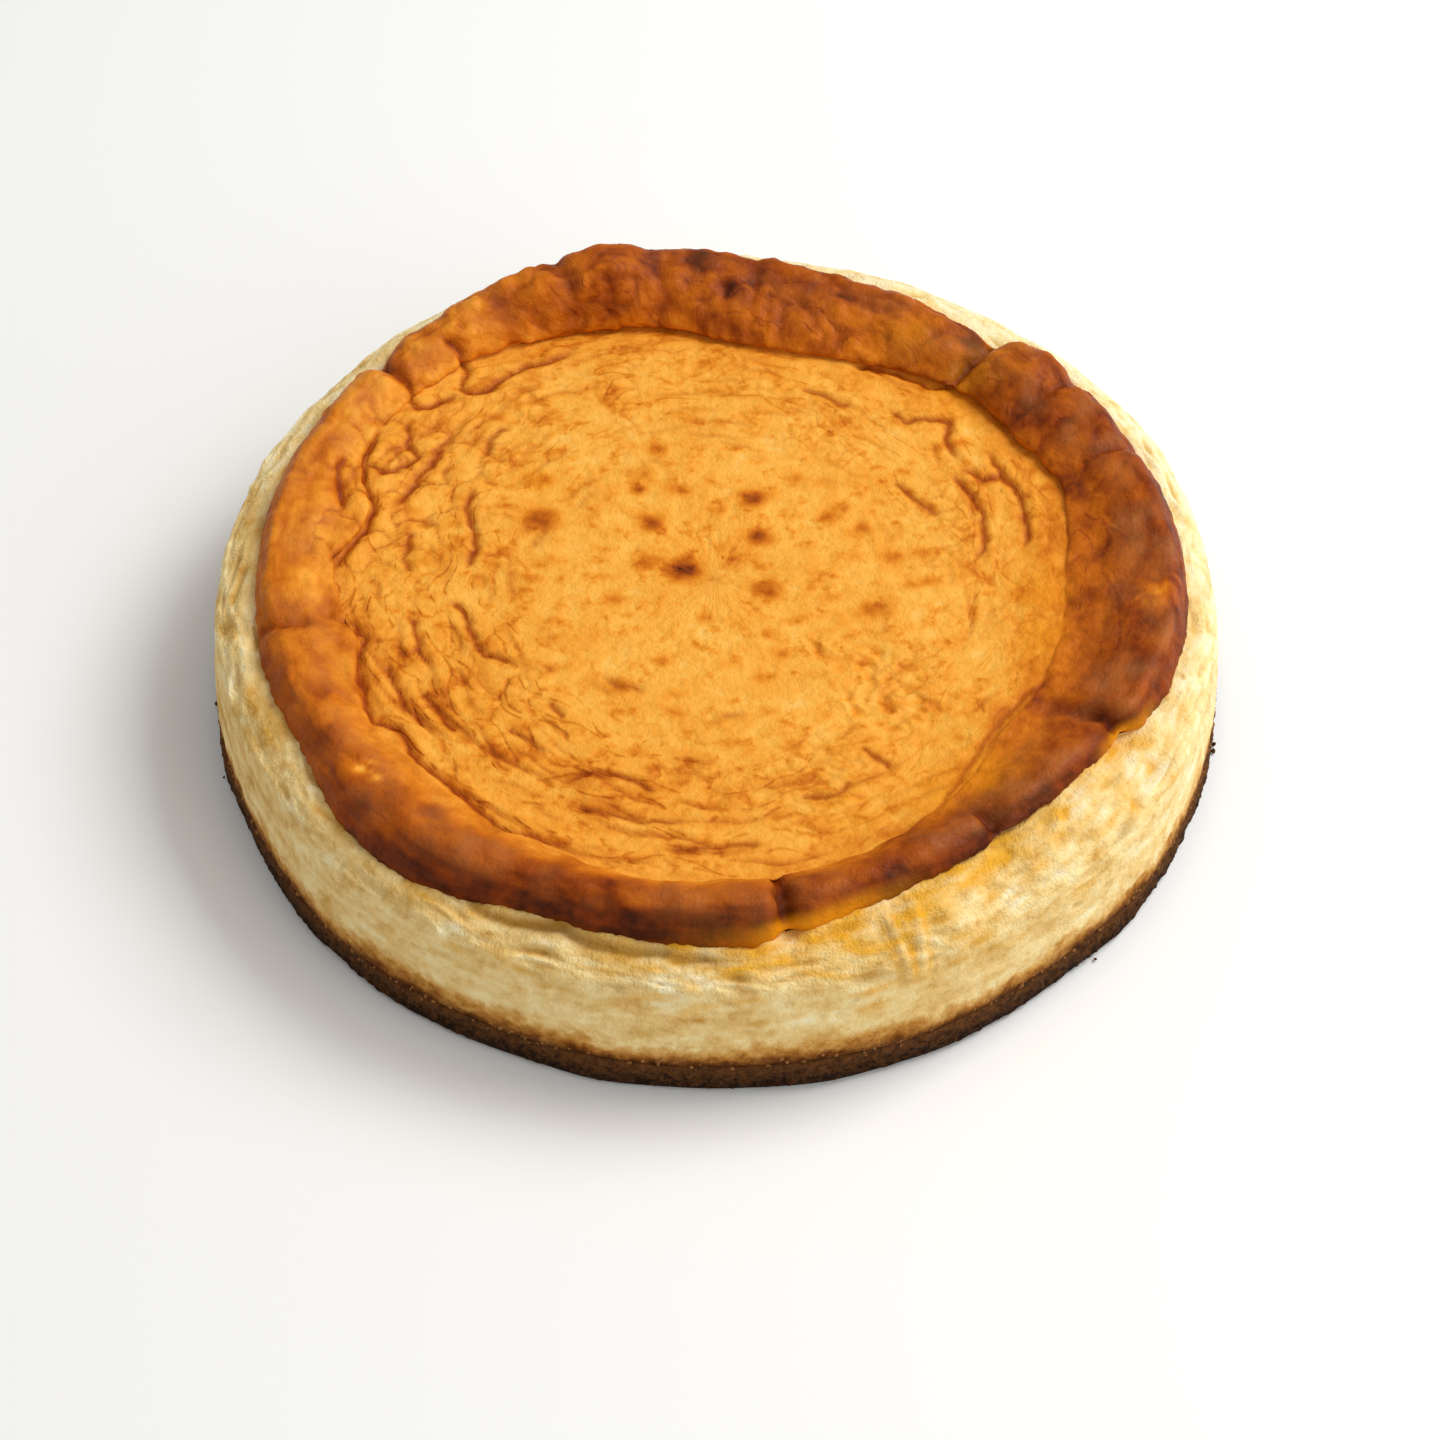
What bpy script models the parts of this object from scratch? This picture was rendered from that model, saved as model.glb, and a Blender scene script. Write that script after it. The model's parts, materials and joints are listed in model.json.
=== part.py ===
"""A whole baked cheesecake, 240 mm across, standing on its biscuit base.

Two pieces: the biscuit base, and the cheese filling whose browned top has sunk inside an uneven,
folded rim. The origin is the centre of the base's underside, +Z is up and the front faces -Y.
Lengths are in millimetres until a mesh is made. Azimuths are in degrees, from +X towards +Y.
"""
import math
from dataclasses import dataclass

import bmesh
import bpy

MM = 0.001

# Driving dimensions
CAKE_RADIUS = 120.0
BASE_HEIGHT = 9.0
LAYER_GAP = 0.3
SHOULDER_HEIGHT = 30.5
FLOOR_HEIGHT = 38.0
CENTRE_DIP = 1.2

# How far the wall leans in, from the foot of the filling to the shoulder
WALL_TAPER = 2.2
EDGE_ROUND = 1.2
BASE_EDGE_ROUND = 1.5

# Slow waves of the outline: amplitude, waves round the cake, azimuth of a crest
OUTLINE_WAVES = ((0.6, 1, 335.0), (0.4, 3, 20.0), (0.3, 7, 231.0), (0.25, 11, 160.0))
# The high side of the shoulder, at the back left
SHOULDER_LIFT = 3.2
SHOULDER_LIFT_AZIMUTH = 140.0
# The crumbly edge of the biscuit base: amplitude, waves round the cake, azimuth of a crest
CRUMB_WAVES = ((0.35, 17, 4.0), (0.3, 29, 9.0))

# Mesh density
AZIMUTH_STEP = 4.0
NOTCH_OFFSETS = (-2.4, -1.1, 1.1, 2.4)
CLOSEST_AZIMUTHS = 0.75
FLOOR_RINGS = 17
CENTRE_RING = 0.06
BASE_SEGMENTS = 96


@dataclass(frozen=True)
class RimStation:
    """The rim's section at one azimuth."""

    azimuth: float
    # Where the browned skin ends on the shoulder
    lip_radius: float
    lip_height: float
    crest_radius: float
    crest_height: float
    # The foot of the inner slope, where the sunken floor begins
    inner_radius: float
    # 0 for an open slope, 1 for a roll that stands over the floor
    roll: float


RIM = (
    RimStation(0.0, 110.0, 39.5, 105.0, 46.5, 82.0, 0.0),
    RimStation(13.0, 109.5, 40.0, 104.5, 46.5, 86.0, 0.2),
    RimStation(21.0, 108.5, 40.5, 103.5, 46.0, 88.5, 0.8),
    RimStation(31.0, 108.0, 41.0, 103.0, 46.5, 86.5, 1.0),
    RimStation(40.0, 107.0, 41.5, 102.5, 47.5, 87.5, 1.0),
    RimStation(49.0, 103.5, 41.5, 99.0, 45.0, 86.0, 0.7),
    RimStation(61.0, 103.0, 41.5, 98.5, 45.0, 82.0, 0.5),
    RimStation(75.0, 105.5, 40.0, 100.5, 45.5, 79.0, 0.6),
    RimStation(88.0, 107.0, 40.0, 101.0, 47.5, 80.5, 0.7),
    RimStation(97.0, 107.5, 40.5, 101.5, 49.0, 86.0, 0.8),
    RimStation(106.0, 108.0, 40.5, 102.0, 53.0, 89.0, 0.8),
    RimStation(118.0, 109.0, 40.5, 103.0, 50.5, 92.5, 0.7),
    RimStation(133.0, 109.5, 39.5, 103.5, 46.0, 95.0, 0.5),
    RimStation(148.0, 109.0, 39.0, 103.5, 44.8, 94.5, 0.3),
    RimStation(158.0, 108.5, 38.5, 104.0, 44.5, 91.0, 0.3),
    RimStation(168.0, 108.0, 38.5, 104.0, 44.5, 84.5, 0.2),
    RimStation(180.0, 107.0, 38.5, 103.0, 44.0, 90.5, 0.9),
    RimStation(195.0, 107.0, 38.0, 101.5, 44.0, 85.0, 0.3),
    RimStation(210.0, 106.5, 38.0, 101.0, 44.0, 90.0, 0.3),
    RimStation(222.0, 110.5, 37.0, 102.5, 44.5, 88.5, 0.3),
    RimStation(234.0, 111.0, 36.5, 103.0, 45.0, 89.5, 0.3),
    RimStation(247.0, 107.0, 38.0, 102.0, 45.0, 91.0, 0.4),
    RimStation(262.0, 107.5, 37.5, 101.5, 45.0, 93.0, 0.5),
    RimStation(275.0, 108.0, 37.5, 102.0, 45.5, 92.5, 0.5),
    RimStation(286.0, 104.5, 39.0, 99.5, 45.0, 91.0, 0.3),
    RimStation(300.0, 103.0, 41.0, 97.5, 45.5, 88.5, 0.3),
    RimStation(311.0, 102.5, 41.5, 97.5, 45.0, 85.5, 0.1),
    RimStation(322.0, 103.0, 41.5, 98.5, 45.0, 81.5, 0.0),
    RimStation(335.0, 108.0, 40.0, 103.5, 45.5, 82.0, 0.0),
    RimStation(347.0, 110.0, 39.5, 105.0, 46.5, 82.0, 0.0),
)


@dataclass(frozen=True)
class Notch:
    """A fold that cuts across the rim, seen as a dip of its crest."""

    azimuth: float
    # How fast the dip fades on its clockwise side and on its other side, in degrees
    fade_before: float
    fade_after: float
    drop: float
    # How far the dip draws the rim's outer face inwards
    pull: float


NOTCHES = (
    Notch(20.0, 1.5, 1.8, 1.2, 0.4),
    Notch(34.0, 1.5, 2.0, 1.8, 0.5),
    Notch(47.0, 1.6, 3.0, 4.6, 2.6),
    Notch(84.0, 1.4, 2.2, 0.9, 0.4),
    Notch(112.5, 1.6, 1.6, 1.2, 0.5),
    Notch(141.0, 2.6, 1.6, 2.6, 2.6),
    Notch(191.0, 3.0, 1.5, 1.8, 0.4),
    Notch(278.5, 1.3, 1.8, 4.0, 2.6),
    Notch(307.5, 1.4, 4.5, 2.6, 1.0),
    Notch(331.0, 3.2, 1.5, 3.6, 3.0),
)


@dataclass(frozen=True)
class Crease:
    """A shallow fold in the floor, drawn through points of azimuth and radius."""

    depth: float
    points: tuple


CREASES = (
    Crease(1.5, ((111.0, 82.0), (119.0, 81.0), (127.0, 83.5), (134.0, 84.5), (139.0, 89.0))),
    Crease(1.1, ((133.0, 77.0), (141.0, 86.0), (148.0, 88.0), (156.0, 86.5))),
    Crease(1.1, ((142.0, 79.0), (151.0, 76.5), (158.0, 78.0), (167.0, 78.0))),
    Crease(0.9, ((153.0, 65.0), (161.0, 62.0), (170.0, 58.5), (181.0, 59.0))),
    Crease(1.0, ((189.0, 71.0), (199.0, 72.5), (207.0, 74.5), (219.0, 76.5))),
    Crease(1.0, ((198.0, 80.0), (206.0, 81.5), (214.0, 81.0), (222.0, 80.0))),
    Crease(1.0, ((187.0, 62.5), (196.0, 60.0), (206.0, 59.0), (215.0, 54.0))),
    Crease(0.9, ((222.0, 67.5), (233.0, 67.0), (245.0, 70.5), (259.0, 68.0))),
    Crease(0.9, ((244.0, 78.0), (257.0, 77.5), (268.0, 76.5))),
    Crease(0.8, ((261.0, 85.0), (270.0, 83.5), (281.0, 83.0))),
    Crease(0.8, ((283.0, 72.0), (292.0, 73.0), (303.0, 70.0))),
    Crease(1.0, ((4.0, 74.5), (13.0, 76.0), (22.0, 77.5), (31.0, 77.0))),
    Crease(0.9, ((2.0, 63.5), (12.0, 66.0), (23.0, 67.0), (33.0, 70.0), (42.0, 74.0))),
    Crease(0.8, ((18.0, 56.0), (29.0, 54.0), (37.0, 53.0))),
    Crease(0.9, ((48.0, 69.5), (60.0, 66.0), (73.0, 67.0))),
    Crease(0.7, ((118.0, 47.0), (137.0, 45.0), (156.0, 47.0), (172.0, 46.0))),
    Crease(0.7, ((205.0, 46.0), (221.0, 48.0), (237.0, 51.0), (250.0, 50.0))),
)
# Share of a crease's points over which it fades in and out
CREASE_FADE = 0.2


@dataclass(frozen=True)
class Dent:
    """A place on the shoulder where the curd bulges, or is torn away where the depth is positive."""

    azimuth: float
    half_width: float
    depth: float


DENTS = (
    Dent(304.0, 4.5, 1.7),
    Dent(292.0, 1.8, -0.9),
    Dent(296.5, 1.6, -0.7),
    Dent(327.0, 2.5, 0.9),
    Dent(252.0, 7.0, 0.8),
    Dent(237.0, 5.0, -0.6),
    Dent(118.0, 6.0, 0.7),
    Dent(66.0, 3.0, -0.8),
    Dent(200.0, 6.0, -0.6),
)


def turned(angle):
    """An angle brought into the half-open turn from -180 to 180 degrees."""
    return (angle + 180.0) % 360.0 - 180.0


def wave_sum(waves, azimuth):
    """The sum of slow waves round the cake."""
    return sum(amplitude * math.cos(math.radians(count * (azimuth - crest)))
               for amplitude, count, crest in waves)


def hermite(before, start, end, after, fraction):
    """A smooth curve from start to end that keeps the slopes of its neighbours."""
    slope_start = 0.5 * (end - before)
    slope_end = 0.5 * (after - start)
    square = fraction * fraction
    cube = square * fraction
    return ((2 * cube - 3 * square + 1) * start + (cube - 2 * square + fraction) * slope_start
            + (3 * square - 2 * cube) * end + (cube - square) * slope_end)


def rim_value(name, azimuth):
    """One measure of the rim at any azimuth, on a closed curve through the stations."""
    count = len(RIM)
    index = max((i for i in range(count) if RIM[i].azimuth <= azimuth % 360.0), default=0)
    start = RIM[index]
    end = RIM[(index + 1) % count]
    span = (end.azimuth - start.azimuth) % 360.0
    fraction = ((azimuth - start.azimuth) % 360.0) / span
    before = RIM[index - 1]
    after = RIM[(index + 2) % count]
    return hermite(getattr(before, name), getattr(start, name),
                   getattr(end, name), getattr(after, name), fraction)


def notch_depth(notch, azimuth):
    """How deep a notch is at an azimuth, from 0 to 1."""
    offset = turned(azimuth - notch.azimuth)
    fade = notch.fade_before if offset < 0.0 else notch.fade_after
    return math.exp(-(offset / fade) ** 2)


def cake_radius(azimuth):
    """The radius of the cake's foot."""
    return CAKE_RADIUS + wave_sum(OUTLINE_WAVES, azimuth)


def rim_section(azimuth):
    """The filling's outer section at an azimuth, from its foot to the floor's edge."""
    foot = cake_radius(azimuth)
    lip = rim_value("lip_radius", azimuth)
    lip_height = rim_value("lip_height", azimuth)
    crest = rim_value("crest_radius", azimuth)
    crest_height = rim_value("crest_height", azimuth)
    inner = rim_value("inner_radius", azimuth)
    roll = rim_value("roll", azimuth)
    for notch in NOTCHES:
        depth = notch_depth(notch, azimuth)
        crest_height -= notch.drop * depth
        lip -= notch.pull * depth
        crest -= 0.8 * notch.pull * depth
    shoulder = foot - WALL_TAPER
    lift = math.cos(math.radians(azimuth - SHOULDER_LIFT_AZIMUTH))
    shoulder_height = SHOULDER_HEIGHT + SHOULDER_LIFT * max(lift, 0.0)
    foot_height = BASE_HEIGHT + LAYER_GAP
    slope = crest - inner
    rise = crest_height - FLOOR_HEIGHT
    torn = sum(dent.depth * math.exp(-(turned(azimuth - dent.azimuth) / dent.half_width) ** 2)
               for dent in DENTS)
    return (
        (foot - EDGE_ROUND, foot_height),
        (foot - 0.2, foot_height + EDGE_ROUND),
        (foot - 0.3 * WALL_TAPER, foot_height + 0.4 * (shoulder_height - foot_height)),
        (shoulder - 0.3 * torn, shoulder_height),
        (shoulder - 0.22 * (shoulder - lip) - torn,
         shoulder_height + 0.48 * (lip_height - shoulder_height) - 0.4 * torn),
        (shoulder - 0.58 * (shoulder - lip) - 0.5 * torn,
         shoulder_height + 0.82 * (lip_height - shoulder_height) - 0.8 * torn),
        (lip, lip_height),
        (lip - 0.15 * (lip - crest), lip_height + 0.5 * (crest_height - lip_height)),
        (lip - 0.55 * (lip - crest), lip_height + 0.88 * (crest_height - lip_height)),
        (crest, crest_height),
        (crest - (0.28 + 0.22 * roll) * slope, FLOOR_HEIGHT + (0.82 + 0.1 * roll) * rise),
        (crest - (0.6 + 0.28 * roll) * slope, FLOOR_HEIGHT + (0.42 + 0.16 * roll) * rise),
        (inner - 0.8 * roll, FLOOR_HEIGHT + 0.3 + 1.2 * roll),
        (inner, FLOOR_HEIGHT - 0.9),
    )


def smooth_section(points):
    """Adds one point between each two of a section, on a smooth curve."""
    last = len(points) - 1
    section = []
    for index in range(last):
        before = points[max(index - 1, 0)]
        after = points[min(index + 2, last)]
        section.append(points[index])
        section.append(tuple(hermite(before[i], points[index][i], points[index + 1][i], after[i], 0.5)
                             for i in range(2)))
    section.append(points[last])
    return section


def crease_at(crease, azimuth):
    """A crease's radius and depth at an azimuth, or None where it doesn't run."""
    points = crease.points
    if not points[0][0] <= azimuth <= points[-1][0]:
        return None
    whole = points[-1][0] - points[0][0]
    along = (azimuth - points[0][0]) / whole
    fade = min(1.0, along / CREASE_FADE, (1.0 - along) / CREASE_FADE)
    for start, end in zip(points, points[1:]):
        if azimuth <= end[0]:
            fraction = (azimuth - start[0]) / (end[0] - start[0])
            return start[1] + fraction * (end[1] - start[1]), crease.depth * fade
    return None


def floor_section(azimuth):
    """The sunken floor at an azimuth, from its edge to the innermost ring."""
    edge = rim_value("inner_radius", azimuth)
    shares = [1.0 - (1.0 - CENTRE_RING) * (ring + 1) / FLOOR_RINGS for ring in range(FLOOR_RINGS)]
    radii = [edge * share for share in shares]
    heights = [FLOOR_HEIGHT - CENTRE_DIP * (1.0 - share * share) for share in shares]
    spacing = edge / FLOOR_RINGS
    bent = set()
    for crease in CREASES:
        place = crease_at(crease, azimuth)
        if place is None:
            continue
        radius, depth = place
        ring = min(range(FLOOR_RINGS), key=lambda i: abs(radii[i] - radius))
        if ring not in bent and abs(radii[ring] - radius) < 0.55 * spacing:
            bent.add(ring)
            radii[ring] = radius
            heights[ring] -= depth
    return list(zip(radii, heights))


def filling_azimuths():
    """Even steps round the cake, with closer ones at the notches."""
    wanted = []
    for notch in NOTCHES:
        wanted.append(notch.azimuth)
        wanted.extend(notch.azimuth + offset for offset in NOTCH_OFFSETS)
    steps = round(360.0 / AZIMUTH_STEP)
    for step in range(steps):
        even = step * AZIMUTH_STEP
        if all(abs(turned(even - other)) > CLOSEST_AZIMUTHS for other in wanted):
            wanted.append(even)
    return sorted(azimuth % 360.0 for azimuth in wanted)


def point_at(azimuth, radius, height):
    """A point in metres from an azimuth and a radius and height in millimetres."""
    angle = math.radians(azimuth)
    return (radius * math.cos(angle) * MM, radius * math.sin(angle) * MM, height * MM)


def round_solid(name, azimuths, sections, low_centre, high_centre):
    """A closed body from one section for each azimuth, fanned to a centre at both ends."""
    mesh = bmesh.new()
    columns = [[mesh.verts.new(point_at(azimuth, radius, height)) for radius, height in section]
               for azimuth, section in zip(azimuths, sections)]
    low = mesh.verts.new(point_at(0.0, 0.0, low_centre))
    high = mesh.verts.new(point_at(0.0, 0.0, high_centre))
    for index, column in enumerate(columns):
        following = columns[(index + 1) % len(columns)]
        mesh.faces.new((low, following[0], column[0]))
        mesh.faces.new((high, column[-1], following[-1]))
        for ring in range(len(column) - 1):
            mesh.faces.new((column[ring], following[ring], following[ring + 1], column[ring + 1]))
    bmesh.ops.recalc_face_normals(mesh, faces=mesh.faces[:])
    data = bpy.data.meshes.new(name)
    mesh.to_mesh(data)
    mesh.free()
    data.shade_smooth()
    data.set_sharp_from_angle(angle=math.radians(50.0))
    solid = bpy.data.objects.new(name, data)
    bpy.context.scene.collection.objects.link(solid)
    return solid


def finish(name, color, roughness):
    """A plain food finish."""
    material = bpy.data.materials.new(name)
    material.use_nodes = True
    shader = material.node_tree.nodes["Principled BSDF"]
    shader.inputs["Base Color"].default_value = (*color, 1.0)
    shader.inputs["Roughness"].default_value = roughness
    shader.inputs["Metallic"].default_value = 0.0
    return material


def make_filling():
    """The cheese filling, solid from the biscuit base to its browned top."""
    azimuths = filling_azimuths()
    sections = [smooth_section(rim_section(azimuth)) + floor_section(azimuth) for azimuth in azimuths]
    filling = round_solid("cheese_filling", azimuths, sections,
                          BASE_HEIGHT + LAYER_GAP, FLOOR_HEIGHT - CENTRE_DIP)
    filling.data.materials.append(finish("baked_cheese", (0.72, 0.36, 0.09), 0.5))
    return filling


def make_base():
    """The pressed biscuit base, a flat disc with a crumbly edge."""
    azimuths = [step * 360.0 / BASE_SEGMENTS for step in range(BASE_SEGMENTS)]
    sections = []
    for azimuth in azimuths:
        radius = cake_radius(azimuth) + wave_sum(CRUMB_WAVES, azimuth)
        sections.append((
            (radius - BASE_EDGE_ROUND, 0.0),
            (radius - 0.3 * BASE_EDGE_ROUND, 0.3 * BASE_EDGE_ROUND),
            (radius, BASE_EDGE_ROUND),
            (radius + 0.2, 0.5 * BASE_HEIGHT),
            (radius - 0.3, BASE_HEIGHT - 0.8),
            (radius - EDGE_ROUND, BASE_HEIGHT),
        ))
    base = round_solid("biscuit_base", azimuths, sections, 0.0, BASE_HEIGHT)
    base.data.materials.append(finish("biscuit", (0.19, 0.08, 0.03), 0.85))
    return base


for leftover in list(bpy.data.objects):
    bpy.data.objects.remove(leftover, do_unlink=True)

make_base()
make_filling()
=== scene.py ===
"""The looks of a whole baked cheesecake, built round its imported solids.

Finer bodies of the same form replace both solids: one for the base, and for the filling a curd body
under a skin body. Each is turned as by hand, and its points are then moved, as with a sculpting
brush, to the folds, cracks and tears of the real cake.
Lengths are in millimetres until a mesh is made. Azimuths are in degrees, from +X towards +Y, and the
front of the cake faces -Y.
"""
import json
import logging
import math
from dataclasses import dataclass
from enum import Enum

import bmesh
import bpy
import numpy as np
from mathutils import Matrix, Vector

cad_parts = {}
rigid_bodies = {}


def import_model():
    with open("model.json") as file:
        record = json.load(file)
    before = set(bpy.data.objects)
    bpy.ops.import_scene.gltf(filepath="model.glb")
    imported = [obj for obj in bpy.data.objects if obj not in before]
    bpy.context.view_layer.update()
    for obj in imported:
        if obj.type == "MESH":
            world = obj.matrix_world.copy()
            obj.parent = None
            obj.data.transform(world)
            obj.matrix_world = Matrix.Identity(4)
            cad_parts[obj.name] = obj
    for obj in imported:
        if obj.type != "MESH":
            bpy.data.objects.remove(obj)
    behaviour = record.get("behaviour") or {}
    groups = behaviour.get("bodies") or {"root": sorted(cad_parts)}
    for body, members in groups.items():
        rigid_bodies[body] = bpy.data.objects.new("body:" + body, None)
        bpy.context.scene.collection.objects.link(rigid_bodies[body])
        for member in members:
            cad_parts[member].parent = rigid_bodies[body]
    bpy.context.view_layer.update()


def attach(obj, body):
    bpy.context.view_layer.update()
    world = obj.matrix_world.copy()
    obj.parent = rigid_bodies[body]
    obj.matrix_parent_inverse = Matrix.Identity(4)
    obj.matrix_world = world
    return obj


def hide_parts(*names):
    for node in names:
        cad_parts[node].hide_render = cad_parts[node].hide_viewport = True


LOG = logging.getLogger("cheesecake")
MM = 0.001
BODY = "root"
# A turned body is one spun sector, doubled this many times
SECTOR_DOUBLINGS = 4


class Zone(Enum):
    """The stretches of the filling's section, by the section parameter where each begins."""

    WALL = 0.0
    RIM = 6.0
    FLOOR = 13.0
    CENTRE = 20.0


class Layer(Enum):
    """The point attributes that carry browning, marks, painted shade and a painted sheen to the finishes
    of skin and curd.
    """

    TOAST = "toast"
    # Painted shade that darkens the skin's creases, cracks, folds and the groove at the rim's foot
    CREASE_SHADE = "crease"
    FLECK = "fleck"
    GLAZE = "glaze"
    # A painted sheen that pales the rim's crest
    PAINTED_SHEEN = "bloom"
    CRINKLE = "crinkle"
    # Tan tone of the curd, with painted shade on its shaded sides and in its torn creases
    TAN_AND_SHADE = "tan"
    # Yellow stains on the curd, which also warm its shade at the front right and beside the ridges as
    # painted shade
    STAIN_AND_SHADE = "stain"
    # Painted shade in the curd's pits, creases and the groove under the lip
    HOLLOW_SHADE = "hollow"
    FOOT = "foot"


def smooth_step(low: float, high: float, value: np.ndarray) -> np.ndarray:
    """A soft ramp.

    Args:
        low: The value at which the ramp is 0.
        high: The value at which the ramp is 1.
        value: The values to put on the ramp.

    Returns:
        Numbers from 0 to 1.
    """
    share = np.clip((value - low) / (high - low), 0.0, 1.0)
    return share * share * (3.0 - 2.0 * share)


def turned(angle: np.ndarray) -> np.ndarray:
    """Brings angles into the turn from -180 to 180 degrees."""
    return (angle + 180.0) % 360.0 - 180.0


def hermite(before: np.ndarray, start: np.ndarray, end: np.ndarray, after: np.ndarray,
            fraction: np.ndarray) -> np.ndarray:
    """A smooth curve from start to end that keeps the slopes of its neighbours.

    Args:
        before: The point before the start.
        start: The point at fraction 0.
        end: The point at fraction 1.
        after: The point after the end.
        fraction: How far along, from 0 to 1.

    Returns:
        The points on the curve.
    """
    square = fraction * fraction
    cube = square * fraction
    slope_start = 0.5 * (end - before)
    slope_end = 0.5 * (after - start)
    return ((2 * cube - 3 * square + 1) * start + (cube - 2 * square + fraction) * slope_start
            + (3 * square - 2 * cube) * end + (cube - square) * slope_end)


def round_the_cake(azimuths: np.ndarray, places: tuple, values: tuple) -> np.ndarray:
    """A closed smooth curve through values that are given at a few azimuths.

    Args:
        azimuths: Where the curve is wanted, from 0 to 360.
        places: The azimuths of the values, rising from 0.
        values: One value for each place.

    Returns:
        The curve's value at each wanted azimuth.
    """
    count = len(places)
    place = np.asarray(places, float)
    value = np.asarray(values, float)
    start = np.searchsorted(place, azimuths, side="right") - 1
    end = (start + 1) % count
    span = (place[end] - place[start]) % 360.0
    fraction = (azimuths - place[start]) / span
    return hermite(value[(start - 1) % count], value[start], value[end], value[(end + 1) % count],
                   fraction)


class CurdNoise:
    """Smooth noise in space, the same on each run and worked out for whole arrays at once."""

    def __init__(self, seed: int) -> None:
        """Draws the slopes at the corners of the noise's cells.

        Args:
            seed: The seed of the draws.
        """
        draw = np.random.default_rng(seed)
        self.order = draw.permutation(256)
        slopes = draw.normal(size=(256, 3))
        self.slopes = slopes / np.linalg.norm(slopes, axis=1)[:, None]

    def at(self, x: np.ndarray, y: np.ndarray, z: np.ndarray) -> np.ndarray:
        """The noise at points given in cells.

        Args:
            x: First coordinate.
            y: Second coordinate.
            z: Third coordinate.

        Returns:
            Values mostly between -1 and 1, around 0.
        """
        cells = [np.floor(axis).astype(int) for axis in (x, y, z)]
        inside = [axis - cell for axis, cell in zip((x, y, z), cells)]
        weights = [part ** 3 * (part * (part * 6.0 - 15.0) + 10.0) for part in inside]
        total = np.zeros_like(inside[0])
        for corner in range(8):
            steps = [corner >> axis & 1 for axis in range(3)]
            key = self.order[(cells[0] + steps[0]) & 255]
            key = self.order[(key + cells[1] + steps[1]) & 255]
            key = self.order[(key + cells[2] + steps[2]) & 255]
            slope = self.slopes[key]
            value = sum(slope[..., axis] * (inside[axis] - steps[axis]) for axis in range(3))
            for axis in range(3):
                value = value * (weights[axis] if steps[axis] else 1.0 - weights[axis])
            total += value
        return 1.6 * total


@dataclass(frozen=True)
class RimStation:
    """The rim's section at one azimuth, as in the solid."""

    azimuth: float
    lip_radius: float
    lip_height: float
    crest_radius: float
    crest_height: float
    inner_radius: float
    roll: float


RIM = (
    RimStation(0.0, 110.0, 39.5, 105.0, 46.5, 82.0, 0.0),
    RimStation(13.0, 109.5, 40.0, 104.5, 46.5, 86.0, 0.2),
    RimStation(21.0, 108.5, 40.5, 103.5, 46.0, 88.5, 0.8),
    RimStation(31.0, 108.0, 41.0, 103.0, 46.5, 86.5, 1.0),
    RimStation(40.0, 107.0, 41.5, 102.5, 47.5, 87.5, 1.0),
    RimStation(49.0, 103.5, 41.5, 99.0, 45.0, 86.0, 0.7),
    RimStation(61.0, 103.0, 41.5, 98.5, 45.0, 82.0, 0.5),
    RimStation(75.0, 105.5, 40.0, 100.5, 45.5, 79.0, 0.6),
    RimStation(88.0, 107.0, 40.0, 101.0, 47.5, 80.5, 0.7),
    RimStation(97.0, 107.5, 40.5, 101.5, 49.0, 86.0, 0.8),
    RimStation(106.0, 108.0, 40.5, 102.0, 53.0, 89.0, 0.8),
    RimStation(118.0, 109.0, 40.5, 103.0, 50.5, 92.5, 0.7),
    RimStation(133.0, 109.5, 39.5, 103.5, 46.0, 95.0, 0.5),
    RimStation(148.0, 109.0, 39.0, 103.5, 44.8, 94.5, 0.3),
    RimStation(158.0, 108.5, 38.5, 104.0, 44.5, 91.0, 0.3),
    RimStation(168.0, 108.0, 38.5, 104.0, 44.5, 84.5, 0.2),
    RimStation(180.0, 107.0, 38.5, 103.0, 44.0, 90.5, 0.9),
    RimStation(195.0, 107.0, 38.0, 101.5, 44.0, 85.0, 0.3),
    RimStation(210.0, 106.5, 38.0, 101.0, 44.0, 90.0, 0.3),
    RimStation(222.0, 110.5, 37.0, 102.5, 44.5, 88.5, 0.3),
    RimStation(234.0, 111.0, 36.5, 103.0, 45.0, 89.5, 0.3),
    RimStation(247.0, 107.0, 38.0, 102.0, 45.0, 91.0, 0.4),
    RimStation(262.0, 107.5, 37.5, 101.5, 45.0, 93.0, 0.5),
    RimStation(275.0, 108.0, 37.5, 102.0, 45.5, 92.5, 0.5),
    RimStation(286.0, 104.5, 39.0, 99.5, 45.0, 91.0, 0.3),
    RimStation(300.0, 103.0, 41.0, 97.5, 45.5, 88.5, 0.3),
    RimStation(311.0, 102.5, 41.5, 97.5, 45.0, 85.5, 0.1),
    RimStation(322.0, 103.0, 41.5, 98.5, 45.0, 81.5, 0.0),
    RimStation(335.0, 108.0, 40.0, 103.5, 45.5, 82.0, 0.0),
    RimStation(347.0, 110.0, 39.5, 105.0, 46.5, 82.0, 0.0),
)


@dataclass(frozen=True)
class Notch:
    """A fold that cuts across the rim, as in the solid."""

    azimuth: float
    fade_before: float
    fade_after: float
    drop: float
    pull: float

    def depth(self, azimuths: np.ndarray) -> np.ndarray:
        """How deep the notch is at each azimuth.

        Args:
            azimuths: The azimuths, in degrees.

        Returns:
            The depths, from 0 to 1.
        """
        offset = turned(azimuths - self.azimuth)
        fade = np.where(offset < 0.0, self.fade_before, self.fade_after)
        return np.exp(-(offset / fade) ** 2)


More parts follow.
